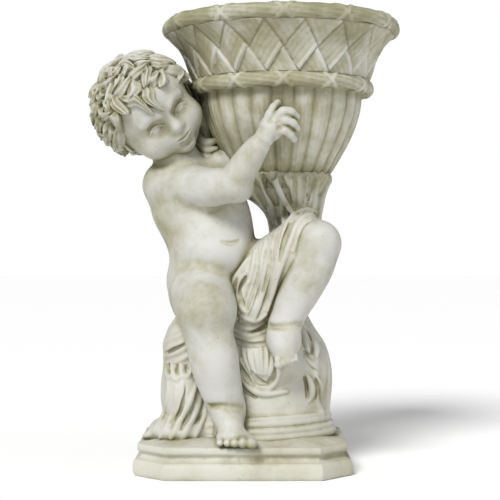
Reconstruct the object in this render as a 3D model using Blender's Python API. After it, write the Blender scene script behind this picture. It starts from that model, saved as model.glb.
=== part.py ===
"""Cherub planter: a seated putto who hugs a woven basket bowl, cast in one piece with stump, cloth and plinth.

Metres, +Z up, the front towards -Y. The origin is the middle of the plinth's underside.
The figure, stump and drapery are built up from overlapping balls and tapered limbs, fused by a voxel remesh.
The basket bowl is turned, the plinth is a stack of eight-sided rings, and Booleans join all three.
"""

import math

import bmesh
import bpy
from mathutils import Matrix, Vector
from mathutils.bvhtree import BVHTree

# Plinth
PLINTH_WIDTH = 0.316
PLINTH_DEPTH = 0.270
PLINTH_CORNER = 0.046
ROLL_HEIGHT = 0.0245
ROLL_INSET = 0.006
HOLLOW_HEIGHT = 0.0125
HOLLOW_INSET = 0.013
TOP_EDGE_HEIGHT = 0.009
TOP_EDGE_INSET = 0.007
MOUND_HEIGHT = 0.007
MOUND_INSET = 0.030
PLINTH_HEIGHT = ROLL_HEIGHT + HOLLOW_HEIGHT + TOP_EDGE_HEIGHT

# Figure, stump and drapery, laid out in units that are 1 cm each at this height
FIGURE_HEIGHT = 0.574
FIGURE_UNITS = 57.4
UNIT = FIGURE_HEIGHT / FIGURE_UNITS
CLAY_VOXEL = 0.0036
CLAY_SMOOTHING = 3
CLAY_TRIANGLES = 5500
LOCKS = 58
LOCK_REACH = 7.2

# Basket bowl
BASKET_X = 0.057
FOOT_LEVEL = 36.7  # in figure units above the plinth, on top of the draped column
FOOT_RADIUS = 0.060
BOWL_RADIUS = 0.121
BOWL_HEIGHT = 0.150
BAND_RADIUS = 0.128
BAND_ROPE = 0.0105
BASKET_HEIGHT = 0.089
RIM_RADIUS = 0.166
RIM_ROPE = 0.011
WALL = 0.014
FLOOR = 0.022
RIBS = 24
RIB_DEPTH = 0.004
STRIPS = 18
STRIP_DEPTH = 0.005
STRIP_COLUMNS = 4
COLUMNS = STRIPS * STRIP_COLUMNS  # facets round the basket, which make three to a rib
BINDINGS = 12
BINDING_DEPTH = 0.002
INNER_COLUMNS = 32
INNER_ROWS = 4
BOWL_ROWS = 4
ROPE_ROWS = 4

STONE = (0.72, 0.69, 0.58, 1.0)
STONE_ROUGHNESS = 0.75


def clear_scene():
    """Starts from an empty scene."""
    for obj in list(bpy.data.objects):
        bpy.data.objects.remove(obj)


def stone():
    """The one material of the casting."""
    material = bpy.data.materials.new("antique_cast_stone")
    material.use_nodes = True
    shader = material.node_tree.nodes["Principled BSDF"]
    shader.inputs["Base Color"].default_value = STONE
    shader.inputs["Roughness"].default_value = STONE_ROUGHNESS
    shader.inputs["Metallic"].default_value = 0.0
    return material


def place(x, y, z):
    """A point of the figure in metres, from figure units above the plinth's top."""
    return Vector((x * UNIT, y * UNIT, PLINTH_HEIGHT + z * UNIT))


def object_of(bm, name, helper=True):
    """A mesh object from a bmesh, hidden from renders if it only helps a modifier."""
    mesh = bpy.data.meshes.new(name)
    bm.to_mesh(mesh)
    bm.free()
    obj = bpy.data.objects.new(name, mesh)
    bpy.context.scene.collection.objects.link(obj)
    if helper:
        obj.hide_render = True
        obj.display_type = "WIRE"
    return obj


class Clay:
    """The overlapping balls and limbs of the figure, gathered as one set of points and faces."""

    def __init__(self):
        self.points = []
        self.faces = []
        self.unit_ball = bpy.data.meshes.new("unit_ball")
        bm = bmesh.new()
        bmesh.ops.create_uvsphere(bm, u_segments=20, v_segments=12, radius=1.0)
        bm.to_mesh(self.unit_ball)
        bm.free()

    def add(self, mesh, matrix):
        """Puts a copy of a mesh in, placed by a matrix."""
        start = len(self.points)
        self.points.extend(matrix @ vertex.co for vertex in mesh.vertices)
        self.faces.extend([start + n for n in face.vertices] for face in mesh.polygons)

    def settle(self):
        """Notes the shape so far, for the folds that are laid on it."""
        self.tree = BVHTree.FromPolygons(self.points, self.faces)

    def skin(self, x, y, z, turn):
        """Where the settled shape starts on the way in to a point, from a side turned from the front."""
        out = Vector((math.sin(math.radians(turn)), -math.cos(math.radians(turn)), 0))
        hit = self.tree.ray_cast(place(x, y, z) + out, -out)[0]
        if hit is None:
            hit = self.tree.find_nearest(place(x, y, z))[0]
        return hit.x / UNIT, hit.y / UNIT

    def mesh(self):
        """All of it as one mesh, whose pieces still overlap."""
        mesh = bpy.data.meshes.new("clay")
        mesh.from_pydata(self.points, [], self.faces)
        bpy.data.meshes.remove(self.unit_ball)
        return mesh


def ball(clay, centre, radii, tilt=0.0, turn=0.0):
    """Adds an ellipsoid to the clay: radii in units, tilted about Y and then turned about Z, in degrees."""
    matrix = (
        Matrix.Translation(place(*centre))
        @ Matrix.Rotation(math.radians(turn), 4, "Z")
        @ Matrix.Rotation(math.radians(tilt), 4, "Y")
        @ Matrix.Diagonal([r * UNIT for r in radii] + [1.0])
    )
    clay.add(clay.unit_ball, matrix)


def limb(clay, stations):
    """Adds a round tapered limb: a curve through (x, y, z, radius) stations, with a ball on each end."""
    curve = bpy.data.curves.new("limb", "CURVE")
    curve.dimensions = "3D"
    curve.resolution_u = 4
    curve.bevel_depth = 1.0
    curve.bevel_resolution = 2
    curve.use_fill_caps = True
    spline = curve.splines.new("BEZIER")
    spline.bezier_points.add(len(stations) - 1)
    for point, (x, y, z, radius) in zip(spline.bezier_points, stations):
        point.co = place(x, y, z)
        point.radius = radius * UNIT
        point.handle_left_type = point.handle_right_type = "AUTO"
    obj = bpy.data.objects.new("limb", curve)
    bpy.context.scene.collection.objects.link(obj)
    mesh = bpy.data.meshes.new_from_object(obj.evaluated_get(bpy.context.evaluated_depsgraph_get()))
    clay.add(mesh, Matrix.Identity(4))
    bpy.data.objects.remove(obj)
    bpy.data.meshes.remove(mesh)
    for x, y, z, radius in (stations[0], stations[-1]):
        ball(clay, (x, y, z), (radius, radius, radius))


def between(first, last, share):
    """The stations that lie a share of the way from one limb's to another's."""
    return [tuple(a + (b - a) * share for a, b in zip(p, q)) for p, q in zip(first, last)]


def pleats(clay, first, last, count):
    """Adds a run of cloth folds, spread evenly from a first fold to a last one."""
    for n in range(count):
        limb(clay, between(first, last, n / (count - 1)))


def front_folds(clay, first, last, count):
    """Adds a run of folds laid on the front of the settled shape, each through (x, z, radius) stations."""
    for n in range(count):
        fold = between(first, last, n / (count - 1))
        limb(clay, [(*clay.skin(x, -7, z, 0), z, radius) for x, z, radius in fold])


def folds_around(clay, x, y, first, last, count):
    """Adds a run of folds laid round the settled shape, each through (turn, z, radius) stations."""
    for n in range(count):
        fold = between(first, last, n / (count - 1))
        limb(clay, [(*clay.skin(x, y, z, turn), z, radius) for turn, z, radius in fold])


def swell(clay, stations):
    """Adds a body through (x, y, z, width, depth, height) stations of half sizes, with balls between them."""
    steps = 5
    for first, last in zip(stations, stations[1:]):
        for n in range(steps + 1):
            x, y, z, width, depth, height = [a + (b - a) * n / steps for a, b in zip(first, last)]
            ball(clay, (x, y, z), (width, depth, height))


def torso(clay):
    """Pelvis, round belly, chest, shoulders and neck."""
    swell(
        clay,
        [
            (-5.2, -1.6, 23.0, 6.0, 4.9, 4.6),
            (-4.5, -3.5, 27.6, 6.1, 5.3, 4.2),
            (-5.4, -3.1, 31.0, 6.6, 4.8, 3.8),
            (-6.5, -2.8, 34.2, 7.0, 4.6, 4.2),
            (-7.2, -2.4, 37.8, 5.8, 3.8, 2.8),
        ],
    )
    limb(clay, [(-8.2, -2.8, 39.0, 3.4), (-10.4, -3.4, 42.4, 3.3), (-12.2, -3.8, 45.5, 3.6)])


def head(clay):
    """The skull, tipped towards the bowl, with full cheeks, a small nose and chin, ears and short locks."""
    centre = Vector((-13.4, -4.3, 47.9))
    up = Vector((-0.55, -0.45, 0.70)).normalized()
    ahead = Vector((0.45, -0.86, -0.20))
    ahead = (ahead - up * ahead.dot(up)).normalized()
    side = up.cross(ahead)

    def on_head(across, forward, above):
        return tuple(centre + side * across + ahead * forward + up * above)

    def bead(across, forward, above, radius):
        ball(clay, on_head(across, forward, above), (radius,) * 3)

    def strand(across, stations):
        limb(clay, [(*on_head(across, forward, above), radius) for forward, above, radius in stations])

    bead(0, -0.4, 0.8, 6.5)
    bead(0, -1.0, 1.2, 6.8)
    bead(0, 1.1, -2.0, 5.6)
    for way in (-1, 1):
        bead(way * 2.5, 3.1, -3.2, 3.0)
        bead(way * 1.1, 5.4, -3.6, 0.9)
        bead(way * 2.6, 4.3, 0.7, 1.7)
        strand(way * 5.8, [(0.2, 0.0, 0.7), (-0.6, -1.1, 0.9), (0.1, -2.6, 0.6)])
    bead(0, 4.8, -5.7, 1.6)
    strand(0, [(5.4, 0.3, 0.7), (6.7, -1.8, 0.95)])
    golden_turn = math.pi * (3 - math.sqrt(5))
    for n in range(LOCKS):
        level = 1 - 1.6 * (n + 0.5) / LOCKS
        ring = math.sqrt(1 - level * level)
        turn = n * golden_turn
        out = Vector((ring * math.cos(turn), ring * math.sin(turn), level))
        if out.y > 0.35 and level < 0.45 or out.y > -0.1 and level < -0.25:
            continue
        curl = out.cross(Vector((math.cos(2.3 * n), math.sin(2.3 * n), -0.6))).normalized()
        stations = []
        for step, sink, radius in ((-1.5, 0.5, 1.0), (0.0, 0.0, 1.1), (1.5, 0.3, 0.6)):
            spot = out * (LOCK_REACH - sink) + curl * step
            stations.append((*on_head(spot.x, spot.y - 1.0, spot.z + 1.2), radius))
        limb(clay, stations)


def right_arm(clay):
    """The arm that crosses the chest and lays its hand on the bowl's front."""
    elbow = (-1.3, -10.8, 37.0, 2.4)
    limb(clay, [(-11.2, -3.2, 37.3, 3.6), (-7.4, -6.4, 36.9, 3.1), (-4.0, -9.2, 36.7, 2.7), elbow])
    limb(clay, [elbow, (0.2, -11.8, 39.4, 2.1), (1.6, -12.6, 41.5, 1.75), (3.0, -13.1, 43.3, 1.4)])
    ball(clay, (4.3, -13.0, 44.7), (2.1, 1.3, 1.7), tilt=-38)
    limb(clay, [(3.5, -13.3, 45.6, 0.8), (4.3, -13.2, 48.0, 0.6)])
    pleats(
        clay,
        [(5.0, -13.4, 46.4, 0.75), (6.7, -13.9, 46.8, 0.7), (7.5, -13.0, 46.2, 0.6)],
        [(5.0, -13.4, 43.7, 0.7), (6.3, -13.9, 43.7, 0.65), (7.0, -13.0, 43.1, 0.55)],
        3,
    )


def left_arm(clay):
    """The arm that reaches up behind the bowl and lays its hand on the back."""
    elbow = (-5.0, 8.0, 43.2, 2.3)
    limb(clay, [(-3.2, -1.4, 39.6, 3.3), (-4.4, 3.6, 41.2, 2.8), elbow])
    limb(clay, [elbow, (-1.6, 11.4, 45.4, 2.0), (2.4, 12.9, 47.3, 1.4)])
    ball(clay, (4.0, 13.0, 48.0), (2.0, 1.2, 1.7))
    pleats(
        clay,
        [(5.0, 13.0, 49.4, 0.7), (7.4, 12.6, 49.8, 0.6)],
        [(5.0, 13.0, 47.0, 0.7), (7.2, 12.6, 46.6, 0.6)],
        4,
    )


def right_leg(clay):
    """The leg that hangs down in front, with its foot flat on the plinth."""
    limb(clay, [(-6.4, -2.0, 22.6, 4.9), (-5.9, -6.2, 21.2, 4.9), (-5.2, -9.7, 19.3, 4.4)])
    limb(
        clay,
        [
            (-5.2, -9.8, 19.0, 4.3),
            (-4.8, -9.9, 15.4, 3.6),
            (-4.0, -9.7, 11.4, 3.55),
            (-3.0, -9.4, 7.8, 3.1),
            (-2.2, -9.1, 4.6, 2.55),
        ],
    )
    ball(clay, (-2.0, -8.2, 1.9), (2.1, 2.3, 1.9))
    limb(clay, [(-1.8, -9.0, 3.2, 2.1), (-1.3, -10.8, 2.2, 1.9), (-1.0, -12.2, 1.2, 1.5)])
    ball(clay, (-1.0, -11.8, 1.0), (2.4, 1.6, 1.2))
    for n in range(5):
        ball(clay, (-2.9 + 0.98 * n, -12.9 - 0.1 * n, 0.8), (0.56 + 0.07 * n, 1.0, 0.7 + 0.06 * n))


def left_thigh(clay):
    """The thigh that rises to the other knee, under the cloth."""
    limb(clay, [(-2.2, -1.2, 22.8, 4.8), (4.4, -4.6, 26.4, 4.5), (10.4, -7.4, 28.6, 3.4)])


def left_shin(clay):
    """The shin below the raised knee, and the foot that points down against the stump."""
    limb(
        clay,
        [
            (10.7, -7.8, 28.4, 3.4),
            (9.8, -7.9, 25.6, 3.5),
            (8.6, -8.0, 22.8, 3.2),
            (7.2, -8.1, 19.8, 2.75),
            (6.1, -8.2, 17.2, 2.3),
        ],
    )
    limb(clay, [(6.0, -8.2, 17.0, 2.3), (5.9, -9.1, 14.8, 2.3), (6.2, -9.9, 12.9, 1.75)])
    for n in range(5):
        ball(clay, (5.0 + 0.6 * n, -10.9 + 0.1 * n, 11.9 + 0.1 * n), (0.66 - 0.05 * n, 0.75, 0.85), tilt=-10)


def stump(clay):
    """The draped stump that the figure sits on, and the ring round its foot."""
    swell(
        clay,
        [
            (1.6, 0.4, 0.4, 11.6, 8.6, 2.6),
            (1.4, 0.4, 5.0, 11.4, 8.4, 3.6),
            (1.5, 0.3, 11.0, 11.4, 7.8, 3.8),
            (0.3, 0.2, 16.0, 9.8, 6.8, 3.6),
            (-0.6, 0.2, 18.8, 7.8, 5.8, 3.2),
        ],
    )
    ring = [(-8.6, -3.4), (1.0, -9.0), (9.4, -6.8), (12.2, 0.4), (8.0, 7.6), (-4.0, 8.4)]
    limb(clay, [(x, y, 1.3, 1.5) for x, y in ring])


def column(clay):
    """The gathered cloth that rises from the seat and opens under the bowl."""
    limb(
        clay,
        [
            (2.4, 1.0, 16.0, 5.4),
            (4.8, 1.0, 22.0, 4.4),
            (7.4, 0.9, 28.6, 3.7),
            (8.3, 0.8, 33.4, 3.4),
            (7.3, 0.4, 36.2, 4.6),
            (5.9, 0.2, 39.4, 6.2),
        ],
    )
    ball(clay, (2.6, -0.2, 37.6), (3.8, 3.6, 2.8), tilt=24)
    pleats(
        clay,
        [(4.2, -4.2, 39.4, 0.8), (5.4, -3.4, 36.4, 0.7), (6.0, -2.6, 33.2, 0.7)],
        [(11.6, -1.8, 38.8, 0.8), (11.3, -1.2, 36.0, 0.7), (11.1, -0.8, 33.0, 0.7)],
        5,
    )
    pleats(
        clay,
        [(0.4, -3.6, 36.2, 0.7), (3.6, -3.0, 34.2, 0.7), (5.4, -2.6, 30.8, 0.7)],
        [(2.6, -5.2, 38.9, 0.7), (5.0, -3.8, 34.8, 0.7), (6.6, -3.0, 31.4, 0.7)],
        3,
    )


def cloth_masses(clay):
    """The bulk of the drapery, under its folds."""
    ball(clay, (2.6, -3.2, 24.0), (4.6, 4.4, 4.3))
    ball(clay, (4.6, -4.0, 20.6), (4.4, 4.0, 5.0))
    ball(clay, (1.2, -5.8, 19.6), (2.6, 2.4, 3.4))
    ball(clay, (3.4, -6.4, 11.6), (3.8, 2.4, 3.8))
    ball(clay, (-7.6, -2.6, 13.6), (3.9, 5.2, 4.6))
    ball(clay, (-8.4, -3.0, 6.6), (3.4, 5.2, 6.6))
    ball(clay, (-9.0, -3.6, 1.4), (4.8, 5.6, 2.2))


def lap_cloth(clay):
    """The folds that sweep from the column over the lap and gather between the legs, and fall as a swag."""
    front_folds(
        clay,
        [(2.1, 28.4, 0.6), (0.8, 24.7, 0.7), (-0.1, 21.2, 0.7), (-0.6, 17.4, 0.6)],
        [(7.0, 30.2, 0.6), (5.4, 26.4, 0.7), (4.3, 22.6, 0.7), (2.6, 17.6, 0.6)],
        4,
    )
    front_folds(
        clay,
        [(11.2, 32.2, 0.6), (9.2, 32.2, 0.7), (7.4, 30.8, 0.8), (5.9, 28.2, 0.8), (5.0, 25.6, 0.7)],
        [(11.2, 33.4, 0.6), (9.0, 33.4, 0.7), (6.6, 31.8, 0.8), (4.9, 29.0, 0.8), (3.8, 26.0, 0.7)],
        2,
    )
    front_folds(
        clay,
        [(-0.6, 17.2, 0.7), (1.4, 16.0, 0.8), (3.4, 16.6, 0.7)],
        [(-0.6, 18.6, 0.7), (1.4, 17.8, 0.8), (3.4, 18.8, 0.7)],
        2,
    )
    front_folds(
        clay,
        [(-0.2, 14.4, 0.6), (0.2, 12.6, 0.6), (0.6, 10.8, 0.5)],
        [(3.8, 14.2, 0.6), (4.0, 12.2, 0.6), (4.6, 10.2, 0.5)],
        4,
    )
    front_folds(
        clay,
        [(-0.2, 10.4, 0.6), (1.8, 8.0, 0.8), (4.2, 6.8, 0.8), (6.6, 7.6, 0.6)],
        [(1.2, 10.8, 0.6), (3.0, 9.4, 0.7), (4.8, 8.6, 0.7), (6.8, 9.2, 0.5)],
        2,
    )


def side_cloth(clay):
    """The cloth that hangs under the right thigh, the folds round stump and column, and a loose end."""
    front_folds(
        clay,
        [(-11.0, 15.6, 0.6), (-9.2, 14.8, 0.8), (-7.2, 15.8, 0.7)],
        [(-11.4, 11.6, 0.7), (-9.4, 12.2, 0.8), (-7.6, 13.4, 0.7)],
        3,
    )
    front_folds(
        clay,
        [(-11.6, 9.8, 0.8), (-10.0, 11.2, 0.8), (-8.4, 9.8, 0.7)],
        [(-10.6, 8.2, 0.7), (-9.6, 9.2, 0.7), (-8.6, 8.2, 0.6)],
        2,
    )
    front_folds(
        clay,
        [(-9.2, 8.6, 0.7), (-10.4, 5.0, 0.8), (-12.4, 1.0, 0.8)],
        [(-5.2, 8.4, 0.7), (-6.2, 4.6, 0.8), (-6.4, 0.6, 0.9)],
        4,
    )
    folds_around(
        clay,
        0.6,
        0.4,
        [(58, 17.0, 0.8), (64, 12.0, 0.9), (58, 7.0, 0.9), (62, 1.6, 0.8)],
        [(290, 17.0, 0.8), (298, 12.0, 0.9), (288, 7.0, 0.9), (292, 1.6, 0.8)],
        13,
    )
    folds_around(
        clay,
        6.4,
        1.0,
        [(84, 38.4, 0.7), (88, 33.4, 0.6), (96, 27.0, 0.7), (112, 19.0, 0.9)],
        [(236, 38.4, 0.7), (232, 33.4, 0.6), (222, 27.0, 0.7), (214, 19.0, 0.9)],
        6,
    )
    limb(clay, [(-6.6, 1.8, 44.0, 1.2), (-7.2, 2.2, 47.4, 1.1), (-7.0, 1.4, 51.6, 0.9)])
    pleats(
        clay,
        [(-5.6, -0.8, 41.8, 0.9), (-6.6, -0.2, 45.0, 0.9), (-6.6, 0.4, 50.0, 0.8)],
        [(-4.2, -1.6, 41.6, 0.9), (-5.4, -1.6, 43.6, 0.8), (-5.8, -0.6, 47.0, 0.7)],
        2,
    )


def fused(clay):
    """The clay's skin as a bmesh: a voxel remesh joins the pieces, and smoothing softens the joins."""
    obj = bpy.data.objects.new("clay", clay.mesh())
    bpy.context.scene.collection.objects.link(obj)
    fuse = obj.modifiers.new("fuse", "REMESH")
    fuse.mode = "VOXEL"
    fuse.voxel_size = CLAY_VOXEL
    soften = obj.modifiers.new("soften", "SMOOTH")
    soften.factor = 0.5
    soften.iterations = CLAY_SMOOTHING
    bm = bmesh.new()
    bm.from_object(obj, bpy.context.evaluated_depsgraph_get())
    bpy.data.objects.remove(obj)
    return bm


def keep_outer_skin(bm):
    """Deletes every closed shell but the largest, such as the skin of a pocket between the pieces."""
    left = set(bm.verts)
    shells = []
    while left:
        shell = {left.pop()}
        edge_of_shell = shell
        while edge_of_shell:
            edge_of_shell = {e.other_vert(v) for v in edge_of_shell for e in v.link_edges} - shell
            shell |= edge_of_shell
        left -= shell
        shells.append(shell)
    largest = max(shells, key=len)
    bmesh.ops.delete(bm, geom=[v for v in bm.verts if v not in largest], context="VERTS")


def figure():
    """The figure, stump and drapery as one skin, thinned to few facets."""
    clay = Clay()
    for part in (torso, head, right_arm, left_arm, left_thigh, stump, column, cloth_masses):
        part(clay)
    clay.settle()
    for part in (lap_cloth, side_cloth, right_leg, left_shin):
        part(clay)
    skin = fused(clay)
    keep_outer_skin(skin)
    share = CLAY_TRIANGLES / sum(len(face.verts) - 2 for face in skin.faces)
    obj = object_of(skin, "figure")
    thin = obj.modifiers.new("thin", "DECIMATE")
    thin.ratio = share
    thin.use_collapse_triangulate = True
    return obj


def bridge(bm, lower, upper):
    """Faces between two rings of as many points, each quad split along its shorter diagonal."""
    count = len(lower)
    for n in range(count):
        after = (n + 1) % count
        a, b, c, d = lower[n], lower[after], upper[after], upper[n]
        if (a.co - c.co).length < (b.co - d.co).length:
            bm.faces.new((a, b, c))
            bm.faces.new((a, c, d))
        else:
            bm.faces.new((a, b, d))
            bm.faces.new((b, c, d))


def stacked(bm, rings):
    """A closed solid from rings of points, bottom to top, with a flat cap on each end."""
    made = [[bm.verts.new(point) for point in ring] for ring in rings]
    bm.faces.new(list(reversed(made[0])))
    for lower, upper in zip(made, made[1:]):
        bridge(bm, lower, upper)
    bm.faces.new(made[-1])


def plinth_ring(inset, z):
    """The plinth's plan, a rectangle with its corners cut off, drawn in by an inset."""
    x = PLINTH_WIDTH / 2 - inset
    y = PLINTH_DEPTH / 2 - inset
    corner = PLINTH_CORNER - inset * (2 - math.sqrt(2))
    quarter = [(x, y - corner), (x - corner, y)]
    points = quarter
    points = points + [(-px, py) for px, py in reversed(quarter)]
    points = points + [(-px, -py) for px, py in points[:2]]
    points = points + [(px, -py) for px, py in reversed(quarter)]
    return [Vector((px, py, z)) for px, py in points]


def plinth():
    """The moulded plinth: a rounded roll, a hollow, a square edge and a low mound."""
    levels = []
    steps = 5
    for n in range(steps + 1):
        angle = math.pi * n / steps - math.pi / 2
        levels.append((ROLL_INSET * (1 - math.cos(angle)), ROLL_HEIGHT * (1 + math.sin(angle)) / 2))
    for n in range(1, 4):
        angle = math.pi * n / 4
        inset = TOP_EDGE_INSET + (HOLLOW_INSET - TOP_EDGE_INSET) * math.sin(angle)
        levels.append((inset, ROLL_HEIGHT + HOLLOW_HEIGHT * n / 4))
    levels.append((TOP_EDGE_INSET, ROLL_HEIGHT + HOLLOW_HEIGHT))
    levels.append((TOP_EDGE_INSET, PLINTH_HEIGHT - TOP_EDGE_HEIGHT / 4))
    levels.append((TOP_EDGE_INSET * 1.5, PLINTH_HEIGHT))
    levels.append((MOUND_INSET, PLINTH_HEIGHT + MOUND_HEIGHT))
    bm = bmesh.new()
    stacked(bm, [plinth_ring(inset, z) for inset, z in levels])
    return object_of(bm, "cherub_planter", helper=False)


def strip_relief(turn, height):
    """How far the plait stands out: rows of cells, and in each one slanting strip arches over the other."""
    rising = STRIPS * turn + height
    falling = STRIPS * turn - height
    rising_cell, falling_cell = math.floor(rising + 0.01), math.floor(falling + 0.01)
    across, along = rising - rising_cell, falling - falling_cell
    if (rising_cell + falling_cell) % 2:
        across, along = along, across
    edge = max(math.sin(math.pi * across), 0.0) ** 0.3
    arch = max(math.sin(math.pi * along), 0.0) ** 1.5
    return STRIP_DEPTH * edge * arch


def foot_z():
    """Where the bowl's foot stands, on top of the draped column."""
    return PLINTH_HEIGHT + FOOT_LEVEL * UNIT


def flare(share):
    """How far the woven wall has opened at a share of its height."""
    return 0.35 * share + 0.65 * share * share


def basket_profile(column):
    """The outside of the basket bowl at one column, bottom to top, as (turn, radius, height) points.

    Every other row of the woven wall is shifted by half a column, so its facets follow the slanting strips.
    """
    turn = column / COLUMNS
    foot, band = foot_z(), foot_z() + BOWL_HEIGHT
    rim = band + BASKET_HEIGHT
    rib = RIB_DEPTH * (abs(math.cos(math.pi * RIBS * (turn + 0.5 / COLUMNS))) - 1)
    bound = BINDING_DEPTH if column % (COLUMNS // BINDINGS) == 0 else 0.0
    points = [(turn, FOOT_RADIUS * 0.5, foot)]
    for n in range(BOWL_ROWS + 1):
        share = n / BOWL_ROWS
        swell = math.sin(share * math.pi / 2) ** 1.1
        radius = FOOT_RADIUS + (BOWL_RADIUS - FOOT_RADIUS) * swell
        points.append((turn, radius + rib * min(1.0, 3 * share), foot + (BOWL_HEIGHT - BAND_ROPE) * share))
    for n in range(1, ROPE_ROWS):
        angle = math.pi * (n / ROPE_ROWS - 0.5)
        reach = (BAND_ROPE + bound) * math.cos(angle)
        points.append((turn, BAND_RADIUS + reach, band + BAND_ROPE * math.sin(angle)))
    low, high = band + BAND_ROPE, rim - RIM_ROPE
    weave_rows = 2 * STRIP_COLUMNS
    for n in range(weave_rows + 1):
        share = n / weave_rows
        shifted = turn + (n % 2) * 0.5 / COLUMNS
        radius = BAND_RADIUS + (RIM_RADIUS - BAND_RADIUS) * flare(share)
        points.append((shifted, radius + strip_relief(shifted, share), low + (high - low) * share))
    for n in range(1, ROPE_ROWS + 1):
        angle = math.pi * (1.2 * n / ROPE_ROWS - 0.5)
        reach = (RIM_ROPE + bound) * math.cos(angle)
        points.append((turn, RIM_RADIUS + reach, rim + RIM_ROPE * math.sin(angle)))
    return points


def turned(name, profile, columns):
    """A closed turned solid about the basket's axis, whose profile may change from column to column."""
    axis = Vector((BASKET_X, 0, 0))
    around = []
    for column in range(columns):
        around.append(
            [
                axis + Vector((radius * math.cos(math.tau * turn), radius * math.sin(math.tau * turn), z))
                for turn, radius, z in profile(column)
            ]
        )
    bm = bmesh.new()
    stacked(bm, [list(ring) for ring in zip(*around)])
    return object_of(bm, name)


def hollow_profile(column):
    """The inside of the basket bowl, a wall's thickness in from the outside, and past the rim at the top."""
    turn = column / INNER_COLUMNS
    foot, band = foot_z(), foot_z() + BOWL_HEIGHT
    rim = band + BASKET_HEIGHT
    inner_bowl = BOWL_RADIUS - RIB_DEPTH - WALL
    inner_rim = RIM_RADIUS - RIM_ROPE * 0.6
    floor = foot + FLOOR
    foot_share = (FOOT_RADIUS - WALL) / inner_bowl
    points = []
    for n in range(INNER_ROWS + 1):
        share = n / INNER_ROWS
        spread = foot_share + (1 - foot_share) * math.sin(share * math.pi / 2) ** 1.1
        points.append((turn, inner_bowl * spread, floor + (band - floor) * share))
    for n in range(1, INNER_ROWS):
        share = n / (INNER_ROWS - 1)
        radius = inner_bowl + (inner_rim - inner_bowl) * flare(share)
        points.append((turn, radius, band + (rim - band) * share))
    points.append((turn, inner_rim, rim + 2 * RIM_ROPE))
    return points


def join(obj, other, operation):
    """A Boolean modifier on the casting."""
    modifier = obj.modifiers.new(f"{operation.lower()}_{other.name}", "BOOLEAN")
    modifier.operation = operation
    modifier.object = other


def main():
    clear_scene()
    casting = plinth()
    join(casting, figure(), "UNION")
    join(casting, turned("basket", basket_profile, COLUMNS), "UNION")
    join(casting, turned("basket_hollow", hollow_profile, INNER_COLUMNS), "DIFFERENCE")
    casting.data.materials.append(stone())


main()
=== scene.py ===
"""Looks of the cherub planter: carved figure, curly head, gathered cloth, woven basket bowl and plinth.

Metres, +Z up, the front towards -Y, as in the CAD model. Figure, head and cloth are modelled as clay:
a grid that holds each point's distance to the surface, in figure units of 1 cm above the plinth's top.
Balls and limbs are joined to it softly or pressed into it, and a skin is laid over it at the end.
Basket and plinth are profiles carried round, with their relief worked out from the turn and the height.
"""

import math

import bpy
import numpy as np
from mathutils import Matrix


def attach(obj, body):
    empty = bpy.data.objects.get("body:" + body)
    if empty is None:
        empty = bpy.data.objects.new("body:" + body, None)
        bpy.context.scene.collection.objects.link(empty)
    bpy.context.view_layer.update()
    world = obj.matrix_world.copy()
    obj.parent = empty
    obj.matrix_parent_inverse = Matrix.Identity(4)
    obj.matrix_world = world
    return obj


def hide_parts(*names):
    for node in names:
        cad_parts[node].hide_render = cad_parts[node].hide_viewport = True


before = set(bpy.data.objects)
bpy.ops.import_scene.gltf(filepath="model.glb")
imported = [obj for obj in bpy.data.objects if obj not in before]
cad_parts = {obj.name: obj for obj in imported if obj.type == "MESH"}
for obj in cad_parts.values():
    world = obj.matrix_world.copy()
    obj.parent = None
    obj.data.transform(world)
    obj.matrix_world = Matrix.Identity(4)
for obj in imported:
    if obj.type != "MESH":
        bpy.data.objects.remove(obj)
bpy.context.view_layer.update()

NODE = "cherub_planter"

# Plinth, in metres
PLINTH_WIDTH = 0.316
PLINTH_DEPTH = 0.270
PLINTH_CORNER = 0.046
ROLL_HEIGHT = 0.0245
ROLL_INSET = 0.006
HOLLOW_HEIGHT = 0.0125
HOLLOW_INSET = 0.013
TOP_EDGE_HEIGHT = 0.009
TOP_EDGE_INSET = 0.007
MOUND_HEIGHT = 0.007
PLINTH_HEIGHT = ROLL_HEIGHT + HOLLOW_HEIGHT + TOP_EDGE_HEIGHT
EDGE_ROUNDING = 0.0022
SEAM_X = -0.005

# Basket bowl, in metres
BASKET_X = 0.057
FOOT_Z = 0.413
FOOT_RADIUS = 0.060
BOWL_RADIUS = 0.121
BOWL_HEIGHT = 0.150
BAND_RADIUS = 0.128
BAND_ROPE = 0.0105
BASKET_HEIGHT = 0.089
RIM_RADIUS = 0.166
RIM_ROPE = 0.011
WALL = 0.014
FLOOR = 0.022
RIBS = 24
RIB_DEPTH = 0.004
STRIPS = 18
STRIP_DEPTH = 0.005
REEDS = 5
REED_DEPTH = 0.0009
BINDINGS = 12
RIBBON_DEPTH = 0.0022
RIBBON_WIDTH = 0.0042
BASKET_COLUMNS = 720

# Clay, in figure units of 1 cm
UNIT = 0.01
FAR = 4.0
ROOM = 0.9
BODY_CELL = 0.14
CLOTH_CELL = 0.13
HEAD_CELL = 0.085
COARSE = 1.0
MOST_FACES = 190000
LEAST_SHELL = 0.5

# Heights over the surface at which stone nearby is felt for, and the weight of each, for the painted shade
# and wash
RECESS_STEPS = ((0.22, 0.30), (0.55, 0.35), (1.2, 0.25), (2.4, 0.20))

# Notches in the cloth's upper edge
NOTCHES = 38

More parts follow.
